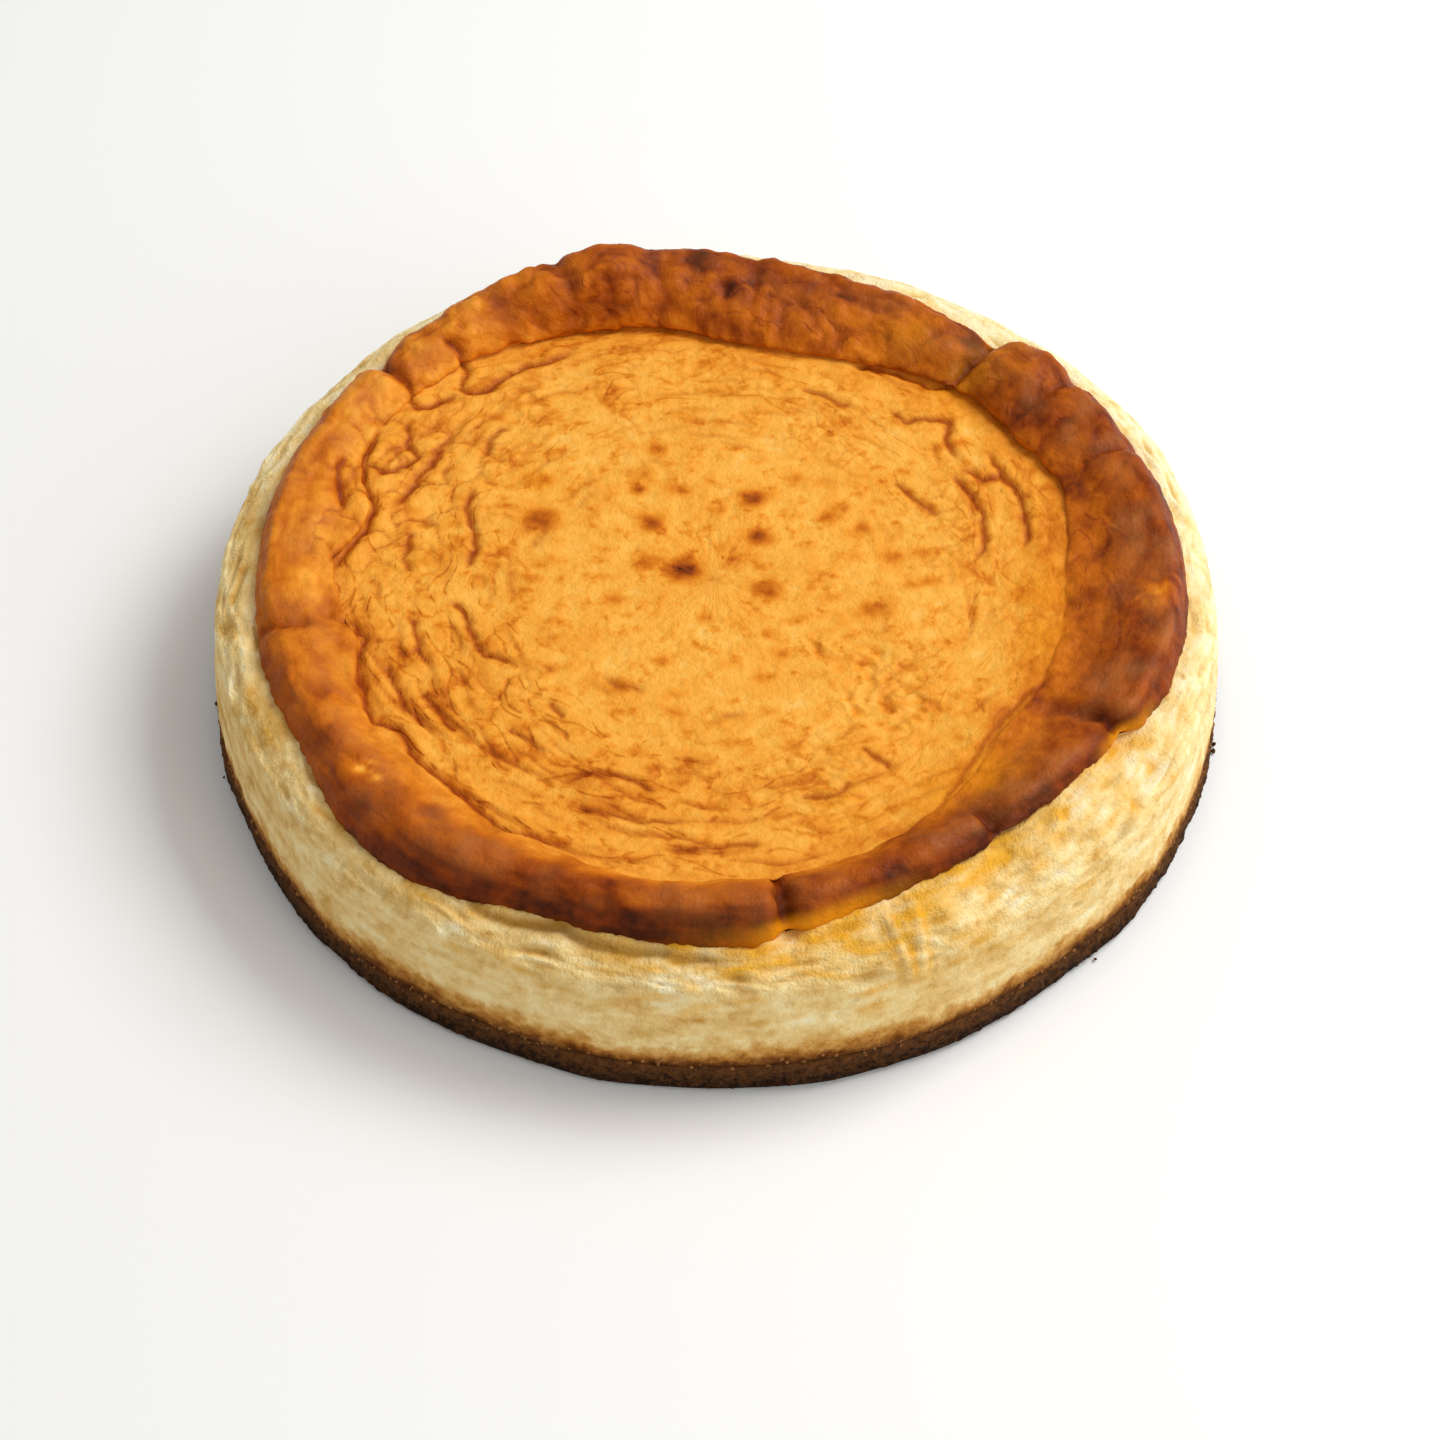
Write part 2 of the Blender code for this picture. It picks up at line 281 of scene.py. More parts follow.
NOTCHES = (
    Notch(20.0, 1.5, 1.8, 1.2, 0.4),
    Notch(34.0, 1.5, 2.0, 1.8, 0.5),
    Notch(47.0, 1.6, 3.0, 4.6, 2.6),
    Notch(84.0, 1.4, 2.2, 0.9, 0.4),
    Notch(112.5, 1.6, 1.6, 1.2, 0.5),
    Notch(141.0, 2.6, 1.6, 2.6, 2.6),
    Notch(191.0, 3.0, 1.5, 1.8, 0.4),
    Notch(278.5, 1.3, 1.8, 4.0, 2.6),
    Notch(307.5, 1.4, 4.5, 2.6, 1.0),
    Notch(331.0, 3.2, 1.5, 3.6, 3.0),
)


@dataclass(frozen=True)
class Dent:
    """A place on the shoulder where the curd bulges, or is torn away where the depth is positive."""

    azimuth: float
    half_width: float
    depth: float


DENTS = (
    Dent(304.0, 4.5, 1.7),
    Dent(292.0, 1.8, -0.9),
    Dent(296.5, 1.6, -0.7),
    Dent(327.0, 2.5, 0.9),
    Dent(252.0, 7.0, 0.8),
    Dent(237.0, 5.0, -0.6),
    Dent(118.0, 6.0, 0.7),
    Dent(66.0, 3.0, -0.8),
    Dent(200.0, 6.0, -0.6),
)


@dataclass(frozen=True)
class CakeForm:
    """The cake's form without its fine relief, the same as the solids'."""

    cake_radius: float = 120.0
    base_height: float = 9.0
    shoulder_height: float = 30.5
    floor_height: float = 38.0
    centre_dip: float = 1.2
    wall_taper: float = 2.2
    # The filling has sunk into the base's edge, so no gap shows between the two
    seam: float = 0.1
    edge_round: float = 0.5
    outline_waves: tuple = ((0.6, 1, 335.0), (0.4, 3, 20.0), (0.3, 7, 231.0), (0.25, 11, 160.0))
    crumb_waves: tuple = ((0.2, 17, 4.0), (0.12, 29, 9.0))
    shoulder_lift: float = 3.2
    shoulder_lift_azimuth: float = 140.0
    # Curd and skin overlap inside, out of sight
    curd_top: float = 33.0
    skin_underside: float = 32.0
    # How far the skin's edge stands out over the curd, as radius and height
    lip_edge: tuple = (0.7, -0.15)
    # The floor's rings lie closest near the rim: each stretch ends at this share of the radius
    floor_shares: tuple = (0.55, 0.2, 0.0)

    def waves(self, waves: tuple, azimuths: np.ndarray) -> np.ndarray:
        """The sum of slow waves round the cake."""
        return sum(amplitude * np.cos(np.radians(count * (azimuths - crest)))
                   for amplitude, count, crest in waves)

    def foot(self, azimuths: np.ndarray) -> np.ndarray:
        """The radius of the cake's foot at each azimuth."""
        return self.cake_radius + self.waves(self.outline_waves, azimuths)

    def rim_value(self, name: str, azimuths: np.ndarray) -> np.ndarray:
        """One measure of the rim at each azimuth, by the name of its field."""
        places = tuple(station.azimuth for station in RIM)
        return round_the_cake(azimuths, places, tuple(getattr(station, name) for station in RIM))

    def section_points(self, azimuths: np.ndarray, lip_wobble: np.ndarray) -> np.ndarray:
        """The points that the filling's section runs through, from its foot to the floor's edge.

        Args:
            azimuths: The azimuths of the sections.
            lip_wobble: How far the ragged edge of the skin stands out at each azimuth.

        Returns:
            An array of azimuth, point, and radius or height.
        """
        foot = self.foot(azimuths)
        lip = self.rim_value("lip_radius", azimuths)
        lip_height = self.rim_value("lip_height", azimuths)
        crest = self.rim_value("crest_radius", azimuths)
        crest_height = self.rim_value("crest_height", azimuths)
        inner = self.rim_value("inner_radius", azimuths)
        roll = self.rim_value("roll", azimuths)
        for notch in NOTCHES:
            depth = notch.depth(azimuths)
            crest_height = crest_height - notch.drop * depth
            lip = lip - notch.pull * depth
            crest = crest - 0.8 * notch.pull * depth
        lip = lip + lip_wobble
        lip_height = lip_height - 0.7 * lip_wobble
        shoulder = foot - self.wall_taper
        lift = np.maximum(np.cos(np.radians(azimuths - self.shoulder_lift_azimuth)), 0.0)
        high = self.shoulder_height + self.shoulder_lift * lift
        low = self.base_height + self.seam
        slope = crest - inner
        rise = crest_height - self.floor_height
        torn = sum(dent.depth * np.exp(-(turned(azimuths - dent.azimuth) / dent.half_width) ** 2)
                   for dent in DENTS)
        flat = np.full_like(foot, self.floor_height)
        points = (
            (foot - self.edge_round, np.full_like(foot, low)),
            (foot - 0.2, np.full_like(foot, low + self.edge_round)),
            (foot - 0.3 * self.wall_taper, low + 0.4 * (high - low)),
            (shoulder - 0.3 * torn, high),
            (shoulder - 0.22 * (shoulder - lip) - torn, high + 0.48 * (lip_height - high) - 0.4 * torn),
            (shoulder - 0.58 * (shoulder - lip) - 0.5 * torn,
             high + 0.82 * (lip_height - high) - 0.8 * torn),
            (lip, lip_height),
            (lip - 0.15 * (lip - crest), lip_height + 0.5 * (crest_height - lip_height)),
            (lip - 0.55 * (lip - crest), lip_height + 0.88 * (crest_height - lip_height)),
            (crest, crest_height),
            (crest - (0.28 + 0.22 * roll) * slope, flat + (0.82 + 0.1 * roll) * rise),
            (crest - (0.6 + 0.28 * roll) * slope, flat + (0.42 + 0.16 * roll) * rise),
            (inner - 0.8 * roll, flat + 0.3 + 1.2 * roll),
            (inner, flat - 0.9),
        )
        return np.array(points).transpose(2, 0, 1)

    def curd_points(self, section: np.ndarray) -> tuple:
        """The curd's own section: underside, wall and shoulder, then in under the skin.

        Args:
            section: The whole filling's section, from section_points.

        Returns:
            The points by azimuth, and the section parameter of each.
        """
        rim = int(Zone.RIM.value)
        lip = section[:, rim]
        under = section[:, 0] * (0.0, 1.0)
        hidden = np.full_like(lip, self.curd_top)
        points = [under, *section[:, :rim].transpose(1, 0, 2), lip - (0.3, 0.6), lip - (2.4, 1.9),
                  lip * (1.0, 0.0) - (12.0, 0.0) + hidden * (0.0, 1.0), hidden * (0.0, 1.0)]
        marks = [-1.0, *range(rim), Zone.RIM.value, 7.0, 8.0, 9.0]
        return np.stack(points, axis=1), tuple(float(mark) for mark in marks)

    def skin_points(self, section: np.ndarray) -> tuple:
        """The browned skin's own section: its hidden underside, its lip, the rim and the floor.

        Args:
            section: The whole filling's section, from section_points.

        Returns:
            The points by azimuth, and the section parameter of each.
        """
        rim = int(Zone.RIM.value)
        lip = section[:, rim]
        inner = section[:, -1] * (1.0, 0.0)
        hidden = np.full_like(lip, self.skin_underside) * (0.0, 1.0)
        floor = [inner * share + (0.0, self.floor_level(share)) for share in self.floor_shares]
        points = [hidden, lip * (1.0, 0.0) - (9.0, 0.0) + hidden, lip - (1.2, 1.9), lip + self.lip_edge,
                  *section[:, rim + 1:].transpose(1, 0, 2), *floor]
        span = Zone.CENTRE.value - Zone.FLOOR.value
        marks = [3.0, 4.0, 5.0, *range(rim, int(Zone.FLOOR.value) + 1),
                 *(Zone.FLOOR.value + span * (1.0 - share) for share in self.floor_shares)]
        return np.stack(points, axis=1), tuple(float(mark) for mark in marks)

    def floor_level(self, share: float) -> float:
        """The floor's height at a share of the way from the centre to its edge."""
        return self.floor_height - self.centre_dip * (1.0 - share * share)


@dataclass(frozen=True)
class Crack:
    """A crack or fold in the skin, drawn through points of x and y as seen from above."""

    depth: float
    points: tuple


# The cracks were drawn at the rim's height. The floor lies lower, so they sit this much further back.
CRACK_SHIFT = 1.5
CRACKS = (
    Crack(1.2, ((-90.4, 0.0), (-87.5, 5.0), (-82.5, 13.3), (-81.3, 19.2), (-83.8, 26.7),
                (-85.0, 34.0), (-81.7, 46.7))),
    Crack(0.9, ((-88.3, 17.5), (-90.0, 25.0), (-90.8, 30.0), (-89.6, 34.2))),
    Crack(1.0, ((-85.0, 35.0), (-80.0, 31.7), (-77.5, 32.5), (-71.7, 38.3), (-75.0, 41.7),
                (-74.2, 45.0), (-75.8, 48.3))),
    Crack(0.8, ((-63.3, 46.7), (-66.7, 42.5), (-67.5, 37.5), (-71.7, 30.8), (-74.2, 25.0),
                (-75.8, 20.8))),
    Crack(0.7, ((-50.8, 49.2), (-55.0, 45.0), (-55.8, 39.2))),
    Crack(0.7, ((-71.7, 12.5), (-73.3, 4.2), (-71.7, 0.0))),
    Crack(0.9, ((-58.3, 27.5), (-59.2, 20.8), (-57.5, 14.2), (-56.7, 8.3), (-58.3, 1.7))),
    Crack(1.3, ((-35.0, 75.8), (-41.7, 71.7), (-47.5, 70.0), (-52.5, 65.8), (-55.8, 61.7),
                (-60.0, 60.4), (-62.9, 62.1), (-61.7, 67.5), (-63.3, 71.3), (-66.7, 72.5),
                (-70.4, 74.2), (-69.6, 78.3))),
    Crack(1.0, ((-63.3, 60.0), (-67.5, 56.7), (-70.8, 54.2), (-73.3, 53.8), (-75.0, 56.7),
                (-75.8, 60.8), (-78.3, 62.5), (-80.0, 66.7), (-79.2, 70.0))),
    Crack(0.6, ((21.7, 62.5), (28.3, 59.2), (33.3, 55.8))),
    Crack(0.9, ((35.0, 70.8), (45.8, 67.5), (53.3, 63.3), (59.2, 62.5))),
    Crack(0.8, ((43.3, 55.0), (46.7, 50.8), (51.7, 51.7), (57.5, 50.8), (56.7, 43.3), (58.3, 38.3))),
    Crack(0.6, ((60.0, 34.2), (65.0, 30.8), (69.2, 31.7))),
    Crack(0.9, ((66.7, 39.2), (70.0, 30.8), (73.3, 25.0), (74.6, 15.8), (74.2, 8.3))),
    Crack(0.9, ((57.5, 32.5), (61.7, 25.8), (64.2, 18.3), (64.2, 10.0), (62.9, 5.0))),
    Crack(0.6, ((43.3, 30.8), (48.3, 24.2), (53.3, 19.2))),
    Crack(1.1, ((-90.4, -16.7), (-83.3, -17.5), (-80.8, -21.7), (-81.7, -27.5), (-81.3, -33.3),
                (-79.2, -41.7), (-77.5, -47.5), (-71.7, -48.8), (-69.2, -51.7), (-68.3, -55.8),
                (-66.7, -58.3), (-63.3, -61.7), (-58.3, -66.3), (-53.3, -71.7), (-48.3, -77.5),
                (-45.0, -80.4), (-39.2, -80.4), (-34.2, -82.9), (-29.2, -85.8))),
    Crack(0.9, ((-75.0, -29.2), (-73.3, -35.8), (-70.8, -40.8), (-66.7, -46.7), (-63.3, -50.8))),
    Crack(0.8, ((-70.0, -15.0), (-68.3, -24.2), (-65.8, -29.2))),
    Crack(0.9, ((-61.7, -9.2), (-58.3, -12.5), (-57.5, -16.7), (-53.3, -25.8), (-45.8, -29.2))),
    Crack(0.8, ((-66.7, -37.5), (-60.8, -46.7), (-58.3, -49.2))),
    Crack(0.7, ((-37.5, -40.0), (-34.2, -45.0))),
    Crack(0.6, ((-46.7, -48.3), (-38.3, -55.0))),
    Crack(0.7, ((-32.5, -64.2), (-26.7, -61.7), (-19.2, -63.3), (-13.3, -66.7))),
    Crack(0.5, ((-30.8, -71.7), (-16.7, -75.8), (-6.7, -75.8))),
    Crack(0.5, ((-10.0, -84.2), (0.0, -83.3), (10.8, -82.5))),
    Crack(0.6, ((19.2, -69.2), (27.5, -68.3), (30.8, -64.2))),
    Crack(0.5, ((33.3, -54.2), (39.2, -60.0))),
    Crack(0.3, ((77.5, -35.0), (70.0, -41.7), (65.8, -46.7), (61.7, -53.3), (57.5, -60.0),
                (54.2, -66.7), (50.0, -73.3))),
)


@dataclass(frozen=True)
class Spot:
    """A burnt spot on the floor: its place, size and how dark it is, from 0 to 1."""

    x: float
    y: float
    radius: float
    darkness: float


SPOTS = (
    Spot(-7.0, 1.7, 4.6, 1.0), Spot(-15.0, 17.0, 3.4, 0.7), Spot(9.7, 25.0, 3.4, 0.7),
    Spot(10.3, 12.5, 3.2, 0.75), Spot(12.5, -5.0, 3.6, 0.6), Spot(4.2, 4.7, 2.6, 0.45),
    Spot(-15.8, 3.7, 3.2, 0.5), Spot(-8.3, 28.7, 2.4, 0.5), Spot(-18.3, 28.3, 2.2, 0.45),
    Spot(-13.8, 42.0, 2.6, 0.45), Spot(-41.7, 18.3, 4.6, 0.6), Spot(-42.0, 31.0, 3.6, 0.35),
    Spot(27.5, 18.8, 3.0, 0.5), Spot(-23.7, -8.0, 2.8, 0.4), Spot(-1.7, -12.5, 2.2, 0.4),
    Spot(35.0, 15.0, 2.6, 0.4), Spot(42.5, 5.0, 3.4, 0.4), Spot(36.0, -11.0, 2.6, 0.4),
    Spot(15.8, -25.0, 2.6, 0.35),
)
# Painted highlights: small pale spots on the rim's left front and on its right crest, standing in for
# glints
PAINTED_GLINTS = (
    Spot(-78.1, -64.2, 1.6, 0.8), Spot(-74.5, -67.0, 1.3, 0.7), Spot(-76.2, -62.0, 1.1, 0.6),
    Spot(103.0, -12.0, 3.8, 0.4), Spot(101.5, -17.0, 3.0, 0.35),
)
# Where butter has soaked the skin to a deeper yellow
GLAZES = (
    Spot(62.0, 66.0, 9.0, 0.5), Spot(77.0, -7.0, 5.5, 0.5), Spot(75.5, -20.0, 6.0, 0.5),
    Spot(60.0, -63.0, 8.0, 0.55), Spot(50.0, -68.0, 7.0, 0.45), Spot(-42.0, 32.0, 7.0, 0.3),
    Spot(-72.0, 4.0, 6.0, 0.3), Spot(30.0, -72.0, 8.0, 0.3), Spot(48.0, 76.0, 7.0, 0.4),
)
WRINKLE_COUNT = 190
FRECKLE_COUNT = 260
# How brown the middle of the floor is, and the most that bare skin gets beside its burnt spots
FLOOR_TOAST = 0.365
DARKEST_TOAST = 0.96


@dataclass(frozen=True)
class Browning:
    """How dark the skin is at one azimuth: at its lip, crest, inner slope and the floor's edge."""

    azimuth: float
    lip: float
    crest: float
    slope: float
    edge: float
    # How deep the groove is where the rim meets the floor, and how dark the painted shade in it
    line: float


BROWNING = (
    Browning(0.0, 0.88, 0.86, 0.72, 0.56, 0.0), Browning(20.0, 0.84, 0.82, 0.73, 0.55, 0.2),
    Browning(34.0, 0.78, 0.78, 0.76, 0.54, 0.7), Browning(47.0, 0.66, 0.74, 0.76, 0.50, 0.8),
    Browning(61.0, 0.74, 0.76, 0.66, 0.47, 0.5), Browning(75.0, 0.76, 0.77, 0.69, 0.47, 0.6),
    Browning(88.0, 0.79, 0.79, 0.73, 0.47, 0.8), Browning(106.0, 0.76, 0.75, 0.69, 0.46, 0.8),
    Browning(118.0, 0.66, 0.62, 0.61, 0.45, 0.7), Browning(133.0, 0.56, 0.52, 0.50, 0.42, 0.3),
    Browning(148.0, 0.59, 0.52, 0.43, 0.40, 0.1), Browning(165.0, 0.66, 0.56, 0.42, 0.40, 0.0),
    Browning(180.0, 0.70, 0.58, 0.47, 0.40, 0.9), Browning(190.0, 0.70, 0.58, 0.46, 0.40, 0.5),
    Browning(200.0, 0.74, 0.63, 0.51, 0.41, 0.1), Browning(215.0, 0.81, 0.67, 0.52, 0.41, 0.2),
    Browning(234.0, 0.92, 0.74, 0.53, 0.42, 0.2), Browning(247.0, 0.94, 0.78, 0.54, 0.42, 0.1),
    Browning(262.0, 0.98, 0.77, 0.54, 0.42, 0.0), Browning(275.0, 0.90, 0.73, 0.54, 0.42, 0.0),
    Browning(286.0, 0.88, 0.76, 0.60, 0.44, 0.0), Browning(300.0, 0.93, 0.80, 0.67, 0.46, 0.0),
    Browning(311.0, 0.96, 0.82, 0.67, 0.46, 0.0), Browning(322.0, 0.90, 0.74, 0.64, 0.50, 0.0),
    Browning(335.0, 0.86, 0.80, 0.70, 0.54, 0.0), Browning(347.0, 0.90, 0.86, 0.72, 0.56, 0.0),
)


def rim_line(azimuths: np.ndarray) -> np.ndarray:
    """How deep the groove is where the rim meets the floor, and how dark its painted shade, at each
    azimuth.
    """
    places = tuple(station.azimuth for station in BROWNING)
    return round_the_cake(azimuths, places, tuple(station.line for station in BROWNING))


def deselect_all() -> None:
    """Leaves object mode's selection empty, because an operator acts on all that is selected."""
    bpy.ops.object.select_all(action="DESELECT")


def draw_section(name: str, stations: np.ndarray, cuts: tuple) -> bpy.types.Object:
    """Draws a half section in the upright plane of +X, by extruding a single point.

    Args:
        name: The object's name.
        stations: Radius and height of the section's points, in metres.
        cuts: How many points are put between each two stations.

    Returns:
        The object, left in edit mode.
    """
    places = [np.array((radius, 0.0, height)) for radius, height in stations]
    deselect_all()
    bpy.ops.mesh.primitive_plane_add(size=MM, location=places[0])
    piece = bpy.context.active_object
    piece.name = name
    piece.data.name = name
    bpy.ops.object.transform_apply(location=True, rotation=False, scale=False)
    bpy.ops.object.mode_set(mode="EDIT")
    bpy.ops.mesh.select_all(action="SELECT")
    bpy.ops.mesh.merge(type="CENTER")
    for start, end, count in zip(places, places[1:], cuts):
        bpy.ops.mesh.extrude_region_move(TRANSFORM_OT_translate={"value": tuple(end - start)})
        if count:
            bpy.ops.mesh.select_more()
            bpy.ops.mesh.subdivide(number_cuts=count)
        mesh = bmesh.from_edit_mesh(piece.data)
        tip = Vector(end)
        nearest = min(mesh.verts, key=lambda point: (point.co - tip).length)
        for point in mesh.verts:
            point.select = point == nearest
        mesh.select_flush_mode()
        bmesh.update_edit_mesh(piece.data)
    return piece


def turned_body(name: str, stations: np.ndarray, cuts: tuple, columns: int) -> bpy.types.Object:
    """Turns a section from the underside's centre to the top's centre into a closed body.

    A narrow sector is spun, and then doubled until it goes all the way round, which is much quicker
    than one whole spin.

    Args:
        name: The object's name.
        stations: Radius and height of the section's points, in metres.
        cuts: How many points are put between each two stations.
        columns: How many steps the turn takes, a multiple of the number of sectors.

    Returns:
        The object, in object mode, with its faces pointing out.
    """
    piece = draw_section(name, stations, cuts)
    sectors = 2 ** SECTOR_DOUBLINGS
    turn = 2.0 * math.pi / sectors
    bpy.ops.mesh.select_all(action="SELECT")
    bpy.ops.mesh.spin(steps=columns // sectors, angle=turn, center=(0.0, 0.0, 0.0), axis=(0.0, 0.0, 1.0))
    for _ in range(SECTOR_DOUBLINGS):
        bpy.ops.mesh.select_all(action="SELECT")
        bpy.ops.mesh.duplicate()
        bpy.ops.transform.rotate(value=turn, orient_axis="Z", center_override=(0.0, 0.0, 0.0))
        turn *= 2.0
    bpy.ops.mesh.select_all(action="SELECT")
    bpy.ops.mesh.remove_doubles(threshold=0.01 * MM)
    bpy.ops.mesh.normals_make_consistent(inside=False)
    bpy.ops.object.mode_set(mode="OBJECT")
    bpy.ops.object.shade_smooth()
    return piece


class TurnedGrid:
    """The points of a turned body as a table of rings and columns, to be moved all at once."""

    def __init__(self, piece: bpy.types.Object, stations: np.ndarray, cuts: tuple, marks: tuple,
                 columns: int) -> None:
        """Finds the ring and column of each point.

        Args:
            piece: The turned body.
            stations: The stations of its section, in metres.
            cuts: How many points lie between each two stations.
            marks: The section parameter of each station.
            columns: How many columns the body has.
        """
        self.piece = piece
        places = []
        parameters = []
        for index, count in enumerate(cuts):
            for step in range(count + 1):
                share = step / (count + 1)
                places.append(stations[index] + share * (stations[index + 1] - stations[index]))
                parameters.append(marks[index] + share * (marks[index + 1] - marks[index]))
        places.append(stations[-1])
        parameters.append(marks[-1])
        self.parameters = np.array(parameters)
        self.azimuths = np.arange(columns) * 360.0 / columns
        flat = np.empty(3 * len(piece.data.vertices))
        piece.data.vertices.foreach_get("co", flat)
        spots = flat.reshape(-1, 3)
        radius = np.hypot(spots[:, 0], spots[:, 1])
        azimuth = np.degrees(np.arctan2(spots[:, 1], spots[:, 0])) % 360.0
        self.column = np.rint(azimuth / 360.0 * columns).astype(int) % columns
        profile = np.array(places)
        gap = ((radius[:, None] - profile[None, :, 0]) ** 2
               + (spots[:, 2][:, None] - profile[None, :, 1]) ** 2)
        self.ring = gap.argmin(axis=1)

    def store(self, places: np.ndarray) -> None:
        """Moves the mesh's points to their places.

        Args:
            places: The places in millimetres, by ring and column.
        """
        flat = (places[self.ring, self.column] * MM).astype(np.float32).ravel()
        self.piece.data.vertices.foreach_set("co", flat)
        self.piece.data.update()

    def paint(self, layer: str, values: np.ndarray) -> None:
        """Stores a value for each point, given by ring and column, as a named attribute."""
        attribute = self.piece.data.attributes.new(layer, "FLOAT", "POINT")
        attribute.data.foreach_set("value", values[self.ring, self.column].astype(np.float32).ravel())


def grid_normals(places: np.ndarray) -> np.ndarray:
    """The outward normals of a table of points.

    Args:
        places: The points by ring and column, with rings that run up the wall and in over the top.

    Returns:
        The normals, each of length 1.
    """
    along = np.roll(places, -1, axis=1) - np.roll(places, 1, axis=1)
    across = np.gradient(places, axis=0)
    normals = np.cross(along, across)
    length = np.linalg.norm(normals, axis=2)
    return normals / np.maximum(length, 1e-9)[..., None]


def distance_to_line(x: np.ndarray, y: np.ndarray, points: tuple) -> tuple:
    """How far points lie from a drawn line.

    Args:
        x: First coordinate of the points.
        y: Second coordinate of the points.
        points: The line's corners.

    Returns:
        The distance, and how far along the line the nearest place is, from 0 to 1.
    """
    corners = np.array(points)
    lengths = np.linalg.norm(np.diff(corners, axis=0), axis=1)
    whole = lengths.sum()
    nearest = np.full(x.shape, np.inf)
    along = np.zeros(x.shape)
    done = 0.0
    for start, end, length in zip(corners, corners[1:], lengths):
        step = (end - start) / length
        travel = np.clip((x - start[0]) * step[0] + (y - start[1]) * step[1], 0.0, length)
        gap = np.hypot(x - start[0] - travel * step[0], y - start[1] - travel * step[1])
        closer = gap < nearest
        nearest = np.where(closer, gap, nearest)
        along = np.where(closer, (done + travel) / whole, along)
        done += length
    return nearest, along


@dataclass
class FillingBody:
    """One of the two bodies of the filling: a turned section, sculpted and painted."""

    form: CakeForm
    name: str
    columns: int
    cuts: tuple
    seed: int = 31
    # How far the ragged edge of the skin wanders, and how finely it is torn
    lip_wobble: float = 0.7
    lip_waves: tuple = ((13.0, 0.6), (34.0, 0.5), (90.0, 0.35))

    def section(self, azimuths: np.ndarray) -> tuple:
        """The body's section at each azimuth, with the section parameter of its points."""
        raise NotImplementedError

    def canvas(self, grid: TurnedGrid, places: np.ndarray) -> "Canvas":
        """The canvas that works out the body's relief and layers."""
        raise NotImplementedError

    def finish(self) -> bpy.types.Material:
        """The body's finish."""
        raise NotImplementedError

    def build(self) -> bpy.types.Object:
        """Turns the body, sculpts it and paints its layers.

        Returns:
            The finished object.
        """
        azimuths = np.arange(self.columns) * 360.0 / self.columns
        points, marks = self.section(azimuths)
        profile = points.mean(axis=0) * MM
        piece = turned_body(self.name, profile, self.cuts, self.columns)
        grid = TurnedGrid(piece, profile, self.cuts, marks, self.columns)
        places = self.soften(grid, self._places(grid, points, np.array(marks)))
        canvas = self.canvas(grid, places)
        moves, layers = canvas.relief()
        grid.store(places + canvas.normals * moves[..., None])
        for layer, values in layers.items():
            grid.paint(layer.value, np.clip(values, 0.0, 1.0))
        return piece

    def dress(self, piece: bpy.types.Object) -> None:
        """Gives the body its finish and its place in the frame.

        Args:
            piece: The built body.
        """
        piece.data.materials.clear()
        piece.data.materials.append(self.finish())
        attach(piece, BODY)
        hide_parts("cheese_filling")

    def wobble(self, azimuths: np.ndarray) -> np.ndarray:
        """How far the ragged lip of the skin stands out at each azimuth.

        Args:
            azimuths: The azimuths, in degrees.

        Returns:
            The distances, in millimetres.
        """
        noise = CurdNoise(self.seed)
        angle = np.radians(azimuths)
        wobble = np.zeros_like(azimuths)
        for waves, share in self.lip_waves:
            level = np.full_like(angle, waves)
            wobble += share * noise.at(waves * np.cos(angle), waves * np.sin(angle), level)
        return self.lip_wobble * wobble

    def _places(self, grid: TurnedGrid, points: np.ndarray, marks: np.ndarray) -> np.ndarray:
        """Puts the table's points on the bare form: straight where hidden and over the floor.

        Args:
            grid: The table of rings and columns.
            points: The points of each column's section.
            marks: The section parameter of each point.

        Returns:
            Places in millimetres, by ring and column.
        """
        last = len(marks) - 1
        angle = np.radians(grid.azimuths)
        rows = []
        for parameter in grid.parameters:
            index = int(np.clip(np.searchsorted(marks, parameter, side="right") - 1, 0, last - 1))
            share = (parameter - marks[index]) / (marks[index + 1] - marks[index])
            start = points[:, index]
            end = points[:, index + 1]
            if index in (0, last - 1) or parameter >= Zone.FLOOR.value:
                point = start + share * (end - start)
            else:
                # The far points on the axis don't bend the curve next to them
                point = hermite(points[:, max(index - 1, 1)], start, end,
                                points[:, min(index + 2, last - 1)], share)
            if parameter > Zone.FLOOR.value:
                # The floor is a shallow dish, and rises out of the groove along the rim's foot
                inward = (parameter - Zone.FLOOR.value) / (Zone.CENTRE.value - Zone.FLOOR.value)
                point[:, 1] = self.form.floor_level(1.0 - inward)
            point[:, 1] += self.lift(grid.azimuths, parameter)
            rows.append(np.stack((point[:, 0] * np.cos(angle), point[:, 0] * np.sin(angle),
                                  point[:, 1]), axis=1))
        return np.array(rows)

    def lift(self, azimuths: np.ndarray, parameter: float) -> np.ndarray:
        """How much higher than the section each column's point lies."""
        return np.zeros_like(azimuths)

    def soften(self, grid: TurnedGrid, places: np.ndarray) -> np.ndarray:
        """The places after corners are rounded, by ring and column."""
        return places


@dataclass
class CreamCurd(FillingBody):
    """The cream curd: the wall, the torn shoulder, and what lies under the skin."""

    name: str = "cream_curd"
    columns: int = 1088
    cuts: tuple = (4, 1, 14, 22, 9, 8, 8, 1, 1, 3)

    def section(self, azimuths: np.ndarray) -> tuple:
        """The curd's section, with the section parameter of its points."""
        return self.form.curd_points(self.form.section_points(azimuths, self.wobble(azimuths)))

    def canvas(self, grid: TurnedGrid, places: np.ndarray) -> "Canvas":
        """The canvas of the wall and shoulder."""
        return CurdCanvas(self.form, grid, places, self.seed)

    def finish(self) -> bpy.types.Material:
        """Matt cream curd."""
        return CurdFinish().make()


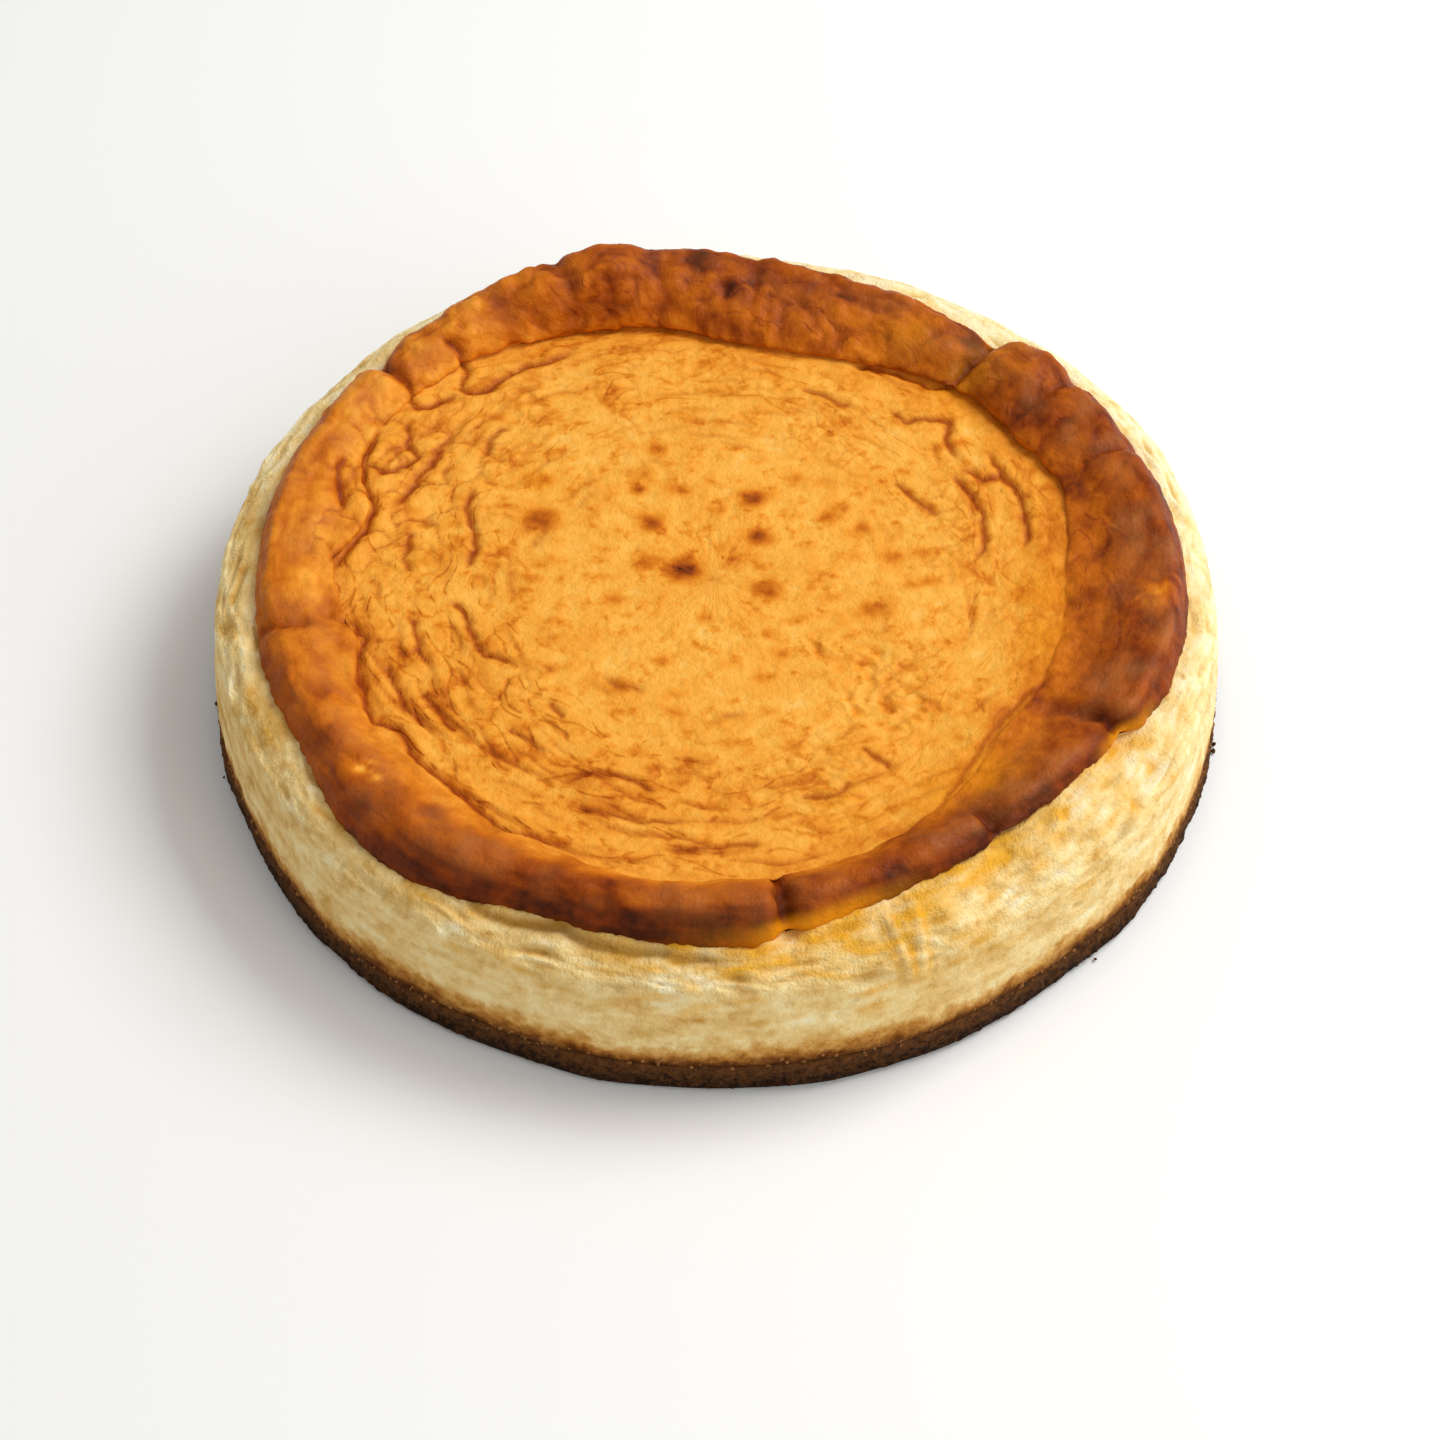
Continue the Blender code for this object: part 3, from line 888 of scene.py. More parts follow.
@dataclass
class BrownedSkin(FillingBody):
    """The browned skin: the folded rim with its ragged lip, and the sunken wrinkled floor."""

    name: str = "browned_skin"
    columns: int = 736
    cuts: tuple = (4, 1, 1, 3, 4, 3, 8, 9, 8, 3, 53, 19, 5)
    groove_depth: float = 0.9
    # How many times the corner at the rim's foot is smoothed
    rounding: int = 14
    # How high the floor runs up into the rim's foot at these azimuths
    fillet_places: tuple = (0.0, 28.0, 50.0, 120.0, 138.0, 158.0, 180.0, 200.0, 290.0, 316.0, 338.0)
    fillet_heights: tuple = (1.6, 0.7, 0.0, 0.0, 1.0, 1.6, 1.0, 0.3, 0.4, 1.5, 1.7)

    def lift(self, azimuths: np.ndarray, parameter: float) -> np.ndarray:
        """The groove at the rim's foot where a line shows there, and elsewhere a soft fillet.

        Args:
            azimuths: The azimuths of the columns.
            parameter: The section parameter of the ring.

        Returns:
            How much higher than the section each column's point lies.
        """
        edge = Zone.FLOOR.value
        line = np.clip(rim_line(azimuths), 0.0, 1.0)
        fillet = np.clip(round_the_cake(azimuths, self.fillet_places, self.fillet_heights), 0.0, 3.0)
        if parameter > edge:
            groove = self.groove_depth * math.exp(-((parameter - edge) / 0.12) ** 2)
            return fillet * math.exp(-((parameter - edge) / 0.8) ** 2) - groove * line
        below = max(0.0, parameter - edge + 1.0)
        near = max(0.0, min(1.0, parameter - edge + 2.0))
        return below * self.groove_depth * (1.0 - line) + near * fillet

    def soften(self, grid: TurnedGrid, places: np.ndarray) -> np.ndarray:
        """Rounds the corner at the rim's foot, where no line shows there.

        Args:
            grid: The table of rings and columns.
            places: The places of its points, in millimetres.

        Returns:
            The rounded places, by ring and column.
        """
        beyond = grid.parameters - Zone.FLOOR.value
        reach = np.where(beyond < 0.0, 1.1, 0.6)
        corner = np.exp(-(beyond / reach) ** 2)[1:-1, None, None]
        share = corner * (1.0 - 0.9 * np.clip(rim_line(grid.azimuths), 0.0, 1.0))[None, :, None]
        for _ in range(self.rounding):
            middle = 0.5 * (places[:-2] + places[2:])
            places[1:-1] += 0.7 * share * (middle - places[1:-1])
        return places

    def section(self, azimuths: np.ndarray) -> tuple:
        """The skin's section, with the section parameter of its points."""
        return self.form.skin_points(self.form.section_points(azimuths, self.wobble(azimuths)))

    def canvas(self, grid: TurnedGrid, places: np.ndarray) -> "Canvas":
        """The canvas of the rim and floor."""
        return SkinCanvas(self.form, grid, places, self.seed)

    def finish(self) -> bpy.types.Material:
        """Satin browned skin."""
        return SkinFinish().make()


class Canvas:
    """Works out a body's relief and layers on the table of its points."""

    def __init__(self, form: CakeForm, grid: TurnedGrid, places: np.ndarray, seed: int) -> None:
        """Keeps the coordinates that every brush reads.

        Args:
            form: The cake's form.
            grid: The table of rings and columns.
            places: The places of its points, in millimetres.
            seed: The first seed of the brushes' noise.
        """
        self.form = form
        self.seed = seed
        self.x, self.y, self.z = (places[..., axis] for axis in range(3))
        self.radius = np.hypot(self.x, self.y)
        self.azimuth = np.broadcast_to(grid.azimuths, self.x.shape)
        self.angle = np.radians(self.azimuth)
        self.section = np.broadcast_to(grid.parameters[:, None], self.x.shape)
        self.normals = grid_normals(places)

    def blank(self) -> np.ndarray:
        """A table of zeros."""
        return np.zeros(self.x.shape)

    def blotches(self, size: float, offset: int) -> np.ndarray:
        """Round noise in space, with cells of a size in millimetres."""
        noise = CurdNoise(self.seed + offset)
        return noise.at(self.x / size, self.y / size, self.z / size)

    def streaks(self, along: float, across: float, offset: int, bend: float = 0.0) -> np.ndarray:
        """Noise drawn out round the cake.

        Args:
            along: The length of its cells round the cake, at the rim.
            across: Their width up the wall or in towards the centre.
            offset: Added to the first seed.
            bend: How far the streaks wander.

        Returns:
            The noise, by ring and column.
        """
        turns = self.form.cake_radius / along
        wander = bend * self.blotches(22.0, offset + 50)
        noise = CurdNoise(self.seed + offset)
        up = (self.z - self.radius + wander) / across
        return noise.at(turns * np.cos(self.angle), turns * np.sin(self.angle), up)

    def around(self, places: tuple, values: tuple) -> np.ndarray:
        """A value that changes smoothly round the cake, over the whole table."""
        return round_the_cake(self.azimuth, places, values)

    def plates(self, along: float, across: float, offset: int) -> np.ndarray:
        """How far each point lies from the crack between two plates of an irregular paving.

        Args:
            along: The plates' length round the cake, at the rim.
            across: Their width up the rim or in towards the centre.
            offset: Added to the first seed.

        Returns:
            The distance, in millimetres across the plates.
        """
        count = int(round(2.0 * math.pi * self.form.cake_radius / along))
        turn = self.angle / (2.0 * math.pi) * count + 0.3 * self.blotches(6.0, offset + 51)
        inward = (self.z - self.radius) / across + 0.3 * self.blotches(6.0, offset + 52)
        column = np.floor(turn).astype(int)
        row = np.floor(inward).astype(int)
        seats = np.random.default_rng(self.seed + offset).uniform(0.08, 0.92, size=(count, 64, 2))
        nearest = np.full(turn.shape, 9.0)
        second = np.full(turn.shape, 9.0)
        for side in (-1, 0, 1):
            for step in (-1, 0, 1):
                seat = seats[(column + side) % count, (row + step) % 64]
                gap = np.hypot(turn - column - side - seat[..., 0], inward - row - step - seat[..., 1])
                second = np.minimum(second, np.maximum(nearest, gap))
                nearest = np.minimum(nearest, gap)
        return (second - nearest) * across

    def relief(self) -> tuple:
        """The body's whole relief and its layers.

        Returns:
            How far each point moves out, and a value for each layer.
        """
        raise NotImplementedError


class SkinCanvas(Canvas):
    """Works out the browned skin's relief and layers."""

    def relief(self) -> tuple:
        """The relief of the floor and rim, and their browning.

        Returns:
            How far each point moves out, and a value for each layer.
        """
        moves = self.blank()
        crease = self.blank()
        toast = self._toast()
        # Each part gives its moves, the painted shade in its creases, and its change to the browning
        for part in (self._cracks(), self._wrinkles(), self._paving(), self._rim(), self._rough_patch()):
            moves += part[0]
            crease = np.maximum(crease, part[1])
            toast += part[2]
        on_floor = smooth_step(11.0, 13.0, self.section)
        moves += on_floor * (0.2 * self.blotches(6.0, 1) + 0.35 * self.blotches(17.0, 27))
        toast = np.minimum(toast, DARKEST_TOAST)
        toast += (0.95 - toast) * self._spots()
        # Painted highlights: the skin is paler at each glint
        for glint in PAINTED_GLINTS:
            gap = np.hypot(self.x - glint.x, self.y - glint.y) / glint.radius
            toast += (0.2 - toast) * glint.darkness * np.exp(-gap ** 2 * (1.0 + self.blotches(2.0, 28)))
        visible = smooth_step(5.6, 6.2, self.section)
        fleck = smooth_step(12.8, 13.6, self.section) * (1.0 - 0.35 * smooth_step(50.0, 84.0, self.radius))
        return moves * visible, {
            Layer.TOAST: toast,
            Layer.CREASE_SHADE: crease,
            Layer.FLECK: fleck,
            Layer.GLAZE: self._glaze(),
            Layer.PAINTED_SHEEN: self._painted_sheen(),
            Layer.CRINKLE: self._crinkle(),
        }

    def _painted_sheen(self) -> np.ndarray:
        """Where a painted sheen makes the rim's crest paler.

        Returns:
            The layer, by ring and column.
        """
        crest = smooth_step(6.8, 8.4, self.section) * (1.0 - smooth_step(10.0, 11.6, self.section))
        much = self.around((0.0, 47.0, 90.0, 140.0, 190.0, 230.0, 275.0, 300.0, 330.0),
                           (0.55, 0.35, 0.12, 0.35, 0.35, 0.4, 0.3, 0.4, 0.5))
        return crest * much * np.clip(0.7 + 2.2 * self.blotches(8.0, 45), 0.0, 1.8)

    def _crinkle(self) -> np.ndarray:
        """Where hair-thin crinkles run over the skin.

        Returns:
            The layer, by ring and column.
        """
        floor = smooth_step(12.6, 13.4, self.section) * smooth_step(36.0, 62.0, self.radius)
        floor = floor * self.around((0.0, 60.0, 120.0, 160.0, 200.0, 240.0, 280.0, 310.0, 335.0),
                                    (0.5, 0.6, 0.7, 0.6, 1.0, 1.0, 0.8, 0.5, 0.4))
        slope = smooth_step(8.4, 10.0, self.section) * (1.0 - smooth_step(12.2, 12.9, self.section))
        slope = slope * self.around((0.0, 40.0, 100.0, 150.0, 200.0, 260.0, 320.0),
                                    (0.7, 0.7, 0.9, 0.4, 0.2, 0.2, 0.3))
        return np.maximum(floor, 0.7 * slope)

    def _cracks(self) -> tuple:
        """The drawn cracks: a narrow groove between two puffed edges.

        Returns:
            The moves, the painted shade in the cracks, and how much browner the skin is beside them.
        """
        moves = self.blank()
        dark_shade = self.blank()
        brown_and_shade = self.blank()
        x = self.x + 0.7 * self.blotches(3.0, 2)
        y = self.y - CRACK_SHIFT + 0.7 * self.blotches(3.0, 3)
        top = smooth_step(9.0, 10.5, self.section)
        for crack in CRACKS:
            gap, along = distance_to_line(x, y, crack.points)
            fade = np.minimum(1.0, np.minimum(along, 1.0 - along) / 0.12 + 0.3)
            groove = np.exp(-(gap / 0.8) ** 2) * fade * top
            puff = np.exp(-((gap - 2.3) / 1.6) ** 2) * fade * top
            moves += crack.depth * (0.3 * puff - 0.7 * groove)
            # Painted shade in the crack's groove, darker for deeper cracks
            dark_shade = np.maximum(dark_shade, groove * min(1.0, 0.5 + 0.6 * crack.depth))
            brown_and_shade = np.maximum(brown_and_shade, 0.07 * np.exp(-(gap / 1.8) ** 2) * fade * top)
        return moves, dark_shade, brown_and_shade

    def _wrinkles(self) -> tuple:
        """Short wrinkles round the sunken floor, each with one edge that laps over the other.

        Returns:
            The moves, the painted shade in the creases, and how much browner the skin is along them.
        """
        moves = self.blank()
        crease = self.blank()
        brown_and_shade = self.blank()
        reach = self.radius + 1.0 * self.blotches(5.5, 5) + 1.4 * self.blotches(13.0, 6)
        draw = np.random.default_rng(self.seed + 4)
        for _ in range(WRINKLE_COUNT):
            place = draw.uniform(0.0, 360.0)
            radius = 88.0 - 52.0 * draw.uniform(0.0, 1.0) ** 1.6
            half = draw.uniform(5.0, 19.0) * radius / 88.0
            depth = draw.uniform(0.15, 0.65)
            lean = draw.normal(0.0, 0.13)
            side = draw.choice((-1.0, 1.0))
            along = turned(self.azimuth - place) * (math.pi / 180.0 * radius)
            near = (np.abs(along) < half) & (np.abs(reach - radius) < 6.0)
            gap = reach[near] - radius - lean * along[near]
            taper = 1.0 - (along[near] / half) ** 2
            line = np.exp(-(gap / 0.55) ** 2) * taper
            lap = np.exp(-((gap * side - 1.4) / 1.1) ** 2) * taper
            moves[near] += depth * (0.4 * lap - 0.75 * line)
            # Painted shade along the wrinkle's crease
            crease[near] = np.maximum(crease[near], (0.15 + 0.8 * depth) * line)
            smudge = np.exp(-((gap * side + 0.6) / 1.4) ** 2) * taper
            brown_and_shade[near] = np.maximum(brown_and_shade[near], (0.02 + 0.14 * depth) * smudge)
        strength = smooth_step(11.8, 12.9, self.section) * self.around(
            (0.0, 60.0, 120.0, 160.0, 200.0, 240.0, 270.0, 300.0, 330.0),
            (0.7, 0.6, 0.6, 0.8, 1.0, 1.15, 1.0, 0.6, 0.6))
        return moves * strength, crease * strength, brown_and_shade * strength

    def _paving(self) -> tuple:
        """The cobbled plates inside the left rim, and fainter ones over floor and rim.

        Returns:
            The moves, the painted shade in the cracks, and how much browner the plates are.
        """
        left = np.exp(-(turned(self.azimuth - 159.0) / 24.0) ** 4)
        band = smooth_step(54.0, 72.0, self.radius) * smooth_step(9.4, 10.6, self.section)
        wide = self.plates(19.0, 10.0, 7)
        strength = band * left
        moves = strength * (0.55 * (1.0 - np.exp(-wide / 1.4)) - 0.3)
        # Painted shade in the cracks between the plates
        crease = strength * 0.6 * np.exp(-(wide / 0.6) ** 2)
        brown_and_shade = strength * (0.01 + 0.04 * np.exp(-(wide / 1.8) ** 2))
        small = self.plates(8.0, 3.4, 29)
        patchy = smooth_step(-0.2, 0.5, self.blotches(17.0, 30))
        faint = patchy * smooth_step(34.0, 60.0, self.radius) * smooth_step(12.2, 13.2, self.section)
        moves += 0.3 * faint * (1.0 - np.exp(-small / 0.8))
        crease = np.maximum(crease, 0.25 * faint * np.exp(-(small / 0.5) ** 2))
        brown_and_shade += 0.03 * faint * np.exp(-(small / 1.2) ** 2)
        return moves, crease, brown_and_shade

    def _rough_patch(self) -> tuple:
        """The rough, torn-looking patch on the right of the floor.

        Returns:
            The moves, an empty layer of painted shade, and how much browner the patch is, most between its
            crags as painted shade.
        """
        gap = np.hypot((self.x - 36.0 + 0.45 * (self.y + 34.0)) / 14.0, (self.y + 34.0) / 20.0)
        mask = 1.0 - smooth_step(0.5, 1.1, gap + 0.3 * self.blotches(9.0, 8))
        crags = 1.0 - np.abs(self.blotches(3.6, 9)) * 2.6
        ridges = 1.0 - np.abs(self.streaks(14.0, 4.0, 32, bend=5.0)) * 2.4
        moves = mask * (0.4 * crags + 0.5 * ridges - 0.4)
        # Painted shade: browner between the crags, paler on their ridges
        return moves, self.blank(), mask * (0.06 - 0.09 * crags)

    def _spots(self) -> np.ndarray:
        """Burnt spots and small freckles.

        Returns:
            How dark they are, from 0 to 1.
        """
        x = self.x + 0.9 * self.blotches(3.2, 10)
        y = self.y - CRACK_SHIFT + 0.9 * self.blotches(3.2, 33)
        spot = self.blank()
        for mark in SPOTS:
            gap = np.hypot(x - mark.x, (y - mark.y) * 1.1) / mark.radius
            spot = np.maximum(spot, min(1.0, 1.15 * mark.darkness) * np.exp(-1.2 * gap ** 2))
        draw = np.random.default_rng(self.seed + 11)
        for _ in range(FRECKLE_COUNT):
            reach = 76.0 * math.sqrt(draw.uniform(0.0, 1.0))
            azimuth = draw.uniform(0.0, 2.0 * math.pi)
            size = draw.uniform(1.1, 2.7)
            darkness = draw.uniform(0.06, 0.34)
            across = x - reach * math.cos(azimuth)
            along = y - reach * math.sin(azimuth)
            near = (np.abs(across) < 6.0) & (np.abs(along) < 6.0)
            gap = np.hypot(across[near], along[near] * 1.5) / size
            spot[near] = np.maximum(spot[near], darkness * np.exp(-gap ** 2))
        return spot * smooth_step(12.5, 13.2, self.section)

    def _glaze(self) -> np.ndarray:
        """Where the skin shines a deeper yellow.

        Returns:
            The layer, by ring and column.
        """
        glaze = self.blank()
        for mark in GLAZES:
            gap = np.hypot(self.x - mark.x, self.y - mark.y) / mark.radius
            glaze = np.maximum(glaze, mark.darkness * np.exp(-gap ** 2 + 0.6 * self.blotches(5.0, 34)))
        fringe = self.around(
            (0.0, 60.0, 180.0, 262.0, 272.0, 278.0, 285.0, 291.0, 298.0, 324.0, 331.0, 338.0),
            (0.0, 0.0, 0.0, 0.0, 0.3, 1.0, 1.0, 0.4, 0.0, 0.0, 0.9, 0.0))
        glaze += np.clip(fringe, 0.0, 1.0) * (1.0 - smooth_step(6.4, 7.6, self.section))
        return glaze

    def _toast(self) -> np.ndarray:
        """How brown the skin is all over.

        Returns:
            The browning, from 0 for cream to 1 for burnt.
        """
        places = tuple(station.azimuth for station in BROWNING)
        lip, crest, slope, edge = (
            self.around(places, tuple(getattr(station, name) for station in BROWNING))
            for name in ("lip", "crest", "slope", "edge"))
        outer_shift = self.around((0.0, 90.0, 160.0, 230.0, 300.0), (0.01, -0.01, 0.0, 0.05, 0.01))
        floor = FLOOR_TOAST + outer_shift * smooth_step(30.0, 75.0, self.radius)
        section = self.section + 0.35 * self.blotches(9.0, 35)
        toast = lip + (crest - lip) * smooth_step(6.8, 9.2, section)
        toast = toast + (slope - toast) * smooth_step(9.2, 11.2, section)
        toast = toast + (edge - toast) * smooth_step(11.0, 12.9, section)
        toast = toast + (floor - toast) * smooth_step(12.6, 14.3, section + 0.3 * self.blotches(4.0, 46))
        on_rim = 1.0 - smooth_step(12.0, 13.2, self.section)
        uneven = 0.04 * self.blotches(14.0, 12) + 0.03 * self.blotches(5.0, 13)
        uneven += on_rim * (0.05 * self.blotches(8.0, 36) + 0.05 * self.streaks(16.0, 3.4, 37, bend=4.0))
        uneven += on_rim * 0.12 * smooth_step(0.25, 0.7, self.blotches(9.0, 47))
        return toast + uneven

    def _rim(self) -> tuple:
        """The rim's lumps, its folds and the line where it meets the floor.

        Returns:
            The moves, the painted shade in the folds and in the groove at the rim's foot, and the
            browning: browner in the folds, and browner in the hollows and paler on the lumps as painted
            shade and highlight.
        """
        on_rim = smooth_step(6.0, 7.2, self.section) * (1.0 - smooth_step(11.8, 12.8, self.section))
        fine = self.streaks(13.0, 2.6, 16, bend=3.0)
        folds = self.plates(17.0, 6.5, 38)
        folded = self.around((0.0, 30.0, 60.0, 90.0, 115.0, 140.0, 165.0, 200.0, 240.0, 300.0),
                             (0.5, 0.6, 0.8, 0.9, 1.0, 0.8, 0.5, 0.45, 0.3, 0.4))
        lumps = 0.6 * self.blotches(10.0, 14) + (0.3 + 0.4 * folded) * self.blotches(4.6, 15) + 0.2 * fine
        lumps = (0.75 + 0.2 * folded) * lumps + 0.22 * folded * self.blotches(2.3, 48)
        pleats = 1.0 - 2.6 * np.abs(self.streaks(7.5, 14.0, 49, bend=6.0))
        lumps += 0.2 * smooth_step(0.5, 0.9, folded) * pleats
        moves = on_rim * (lumps + 0.8 * folded * (1.0 - np.exp(-folds / 1.8)))
        # Painted shade in the low streaks and the cracks between the folds
        crease = on_rim * (0.25 * np.maximum(-fine, 0.0) + 0.3 * folded * np.exp(-(folds / 0.7) ** 2))
        # Painted shade and highlight: browner in the hollows between lumps, paler on their tops
        brown_and_shade = on_rim * (0.06 * folded * np.exp(-(folds / 2.0) ** 2) - 0.07 * lumps)
        groove = np.exp(-((self.section - 12.8) / 0.28) ** 2)
        # Painted shade in the groove at the rim's foot
        crease = np.maximum(crease, 0.9 * groove * np.clip(rim_line(self.azimuth), 0.0, 1.0))
        for notch in NOTCHES:
            wander = 0.5 * self.blotches(6.0, 39)
            sharp = np.exp(-((turned(self.azimuth - notch.azimuth) + wander) / 0.75) ** 2)
            depth = min(1.0, notch.drop / 3.0)
            # Only the deepest notches run on down to the floor
            inside = smooth_step(9.2, 11.0, self.section) * (0.85 if notch.drop < 3.9 else 0.0)
            fold = on_rim * sharp * depth * (1.0 - inside)
            # Painted shade in the notch's fold
            crease = np.maximum(crease, 0.9 * fold)
            moves -= 1.3 * fold
            brown_and_shade += on_rim * 0.1 * depth * notch.depth(self.azimuth)
        return moves, crease, brown_and_shade


class CurdCanvas(Canvas):
    """Works out the cream curd's relief and layers."""

    def relief(self) -> tuple:
        """The wall's uneven curd, the torn shoulder, their stains, and painted shade in their hollows and
        on the shaded sides.

        Returns:
            How far each point moves out, and a value for each layer.
        """
        section = self.section
        on_wall = smooth_step(0.6, 1.4, section) * (1.0 - smooth_step(6.0, 6.5, section))
        upper = smooth_step(2.3, 3.7, section)
        broad = self.blotches(24.0, 20)
        lumps = self.streaks(13.0, 6.5, 17, bend=4.0)
        torn = 1.0 - 2.2 * np.abs(self.streaks(10.0, 3.6, 18, bend=4.0))
        patchy = smooth_step(-0.35, 0.35, self.blotches(16.0, 40))
        pit = smooth_step(0.5, 0.8, self.streaks(4.6, 3.0, 19))
        moves = 0.35 * broad + 0.32 * lumps + (0.12 + 0.6 * upper * patchy) * torn
        moves += 0.14 * self.blotches(2.6, 41) - 0.35 * pit
        # Tanner on the left and front, the shaded sides, as painted shade
        tan = self.around((0.0, 60.0, 120.0, 180.0, 225.0, 262.0, 290.0, 320.0, 340.0),
                          (0.13, 0.1, 0.15, 0.32, 0.33, 0.31, 0.33, 0.27, 0.19))
        tan = tan * (1.0 + 0.5 * self.blotches(11.0, 42) + 0.4 * self.streaks(18.0, 4.0, 43, bend=5.0))
        # Paler on the torn ridges and tanner in their creases, as painted highlight and shade
        tan -= (0.03 + 0.15 * upper * patchy) * torn
        near_lip = smooth_step(3.4, 6.0, section)
        # Yellow stains under the lip, strongest at the front and front right, where they also warm the
        # shade as painted shade
        gold = self.around((0.0, 40.0, 100.0, 180.0, 230.0, 258.0, 276.0, 288.0, 305.0, 325.0, 345.0),
                           (0.2, 0.15, 0.15, 0.2, 0.35, 0.6, 1.0, 0.95, 0.7, 0.6, 0.3))
        stain = near_lip * gold * (0.9 + 0.8 * self.blotches(7.0, 22))
        patches = smooth_step(0.1, 0.6, self.streaks(13.0, 4.4, 21, bend=4.0))
        stain += smooth_step(1.8, 3.2, section) * 0.75 * patches * gold
        foot_top = self.form.base_height + 9.5 + 2.6 * self.blotches(11.0, 23)
        foot_top += 1.0 * self.blotches(3.0, 44)
        foot = 1.0 - smooth_step(self.form.base_height - 3.0, foot_top, self.z)
        foot = np.where(section < Zone.WALL.value + 0.01, 1.0, foot)
        tear_moves, tear_stain_and_shade, tear_shade = self._tears()
        # Painted shade in the torn creases and in the hollows between lumps
        creases = 0.6 * np.maximum(-torn, 0.0) + 0.5 * np.maximum(-0.1 - lumps, 0.0)
        # The curd gives way under the skin where a fold cuts down through the rim
        sunk = smooth_step(4.8, 5.8, section) * sum(
            0.4 * notch.drop * notch.depth(self.azimuth) for notch in NOTCHES)
        return on_wall * moves + tear_moves - sunk, {
            Layer.TAN_AND_SHADE: tan,
            Layer.STAIN_AND_SHADE: stain + tear_stain_and_shade,
            Layer.HOLLOW_SHADE: on_wall * (0.3 * pit + upper * creases) + tear_shade,
            Layer.FOOT: foot,
        }

    def _tears(self) -> tuple:
        """The groove under the front lip, the torn pocket and the ridges beside it.

        Returns:
            The moves, the yellow stain in the tears with painted shade beside the ridges, and the painted
            shade in the groove.
        """
        across = turned(self.azimuth - 270.0) * math.pi / 180.0 * 108.0
        moves = self.blank()
        stain = self.blank()
        hollow = self.blank()
        upper = (self.section > 2.0) & (self.section < 6.0)
        wander = 0.6 * self.blotches(5.0, 24)
        groove_gap, groove_along = distance_to_line(
            across, self.radius + wander,
            ((-58.0, 110.2), (-48.0, 110.6), (-34.0, 108.6), (-25.0, 110.3), (-10.0, 110.8), (8.0, 112.6)))
        fade = np.minimum(1.0, np.minimum(groove_along, 1.0 - groove_along) / 0.15)
        groove = np.where(upper, np.exp(-(groove_gap / 1.4) ** 2) * fade, 0.0)
        moves -= 1.7 * groove
        # Painted shade in the groove under the lip
        hollow += groove
        pocket_gap = np.hypot(turned(self.azimuth - 304.0) * math.pi / 180.0 * 106.0 / 8.0,
                              (self.radius - 107.0 + 0.12 * (across - 61.0)) / 2.6)
        pocket = np.where(upper, 1.0 - smooth_step(0.55, 1.1, pocket_gap + 0.4 * wander), 0.0)
        moves -= 0.9 * pocket
        stain += 0.95 * pocket
        for azimuth, lean in ((290.2, -0.16), (293.0, 0.22)):
            ridge = np.abs(turned(self.azimuth - azimuth) * 2.05 + lean * (self.radius - 112.0))
            span = smooth_step(2.4, 3.2, self.section) * (1.0 - smooth_step(5.0, 5.8, self.section))
            rise = np.exp(-(ridge / 1.2) ** 2) * span
            moves += 0.7 * rise
            # Painted shade: a warm band beside each ridge
            stain += 0.5 * np.exp(-((ridge - 1.8) / 1.0) ** 2) * span
        for azimuth, radius, size in ((329.8, 113.4, 1.8), (316.0, 107.0, 1.6), (324.5, 115.5, 1.4)):
            gap = np.hypot(turned(self.azimuth - azimuth) * 1.95, self.radius - radius) / size
            hole = np.where(upper, np.exp(-gap ** 2), 0.0)
            moves -= 0.9 * hole
            stain += 0.9 * hole
        return moves, stain, hollow


def screen_tone(red: float, green: float, blue: float) -> tuple:
    """A colour as a shader wants it, from its values as seen on a screen.

    Args:
        red: Red, from 0 to 255.
        green: Green, from 0 to 255.
        blue: Blue, from 0 to 255.

    Returns:
        The linear colour, with full opacity.
    """
    shares = (red / 255.0, green / 255.0, blue / 255.0)
    return tuple(share / 12.92 if share <= 0.04045 else ((share + 0.055) / 1.055) ** 2.4
                 for share in shares) + (1.0,)


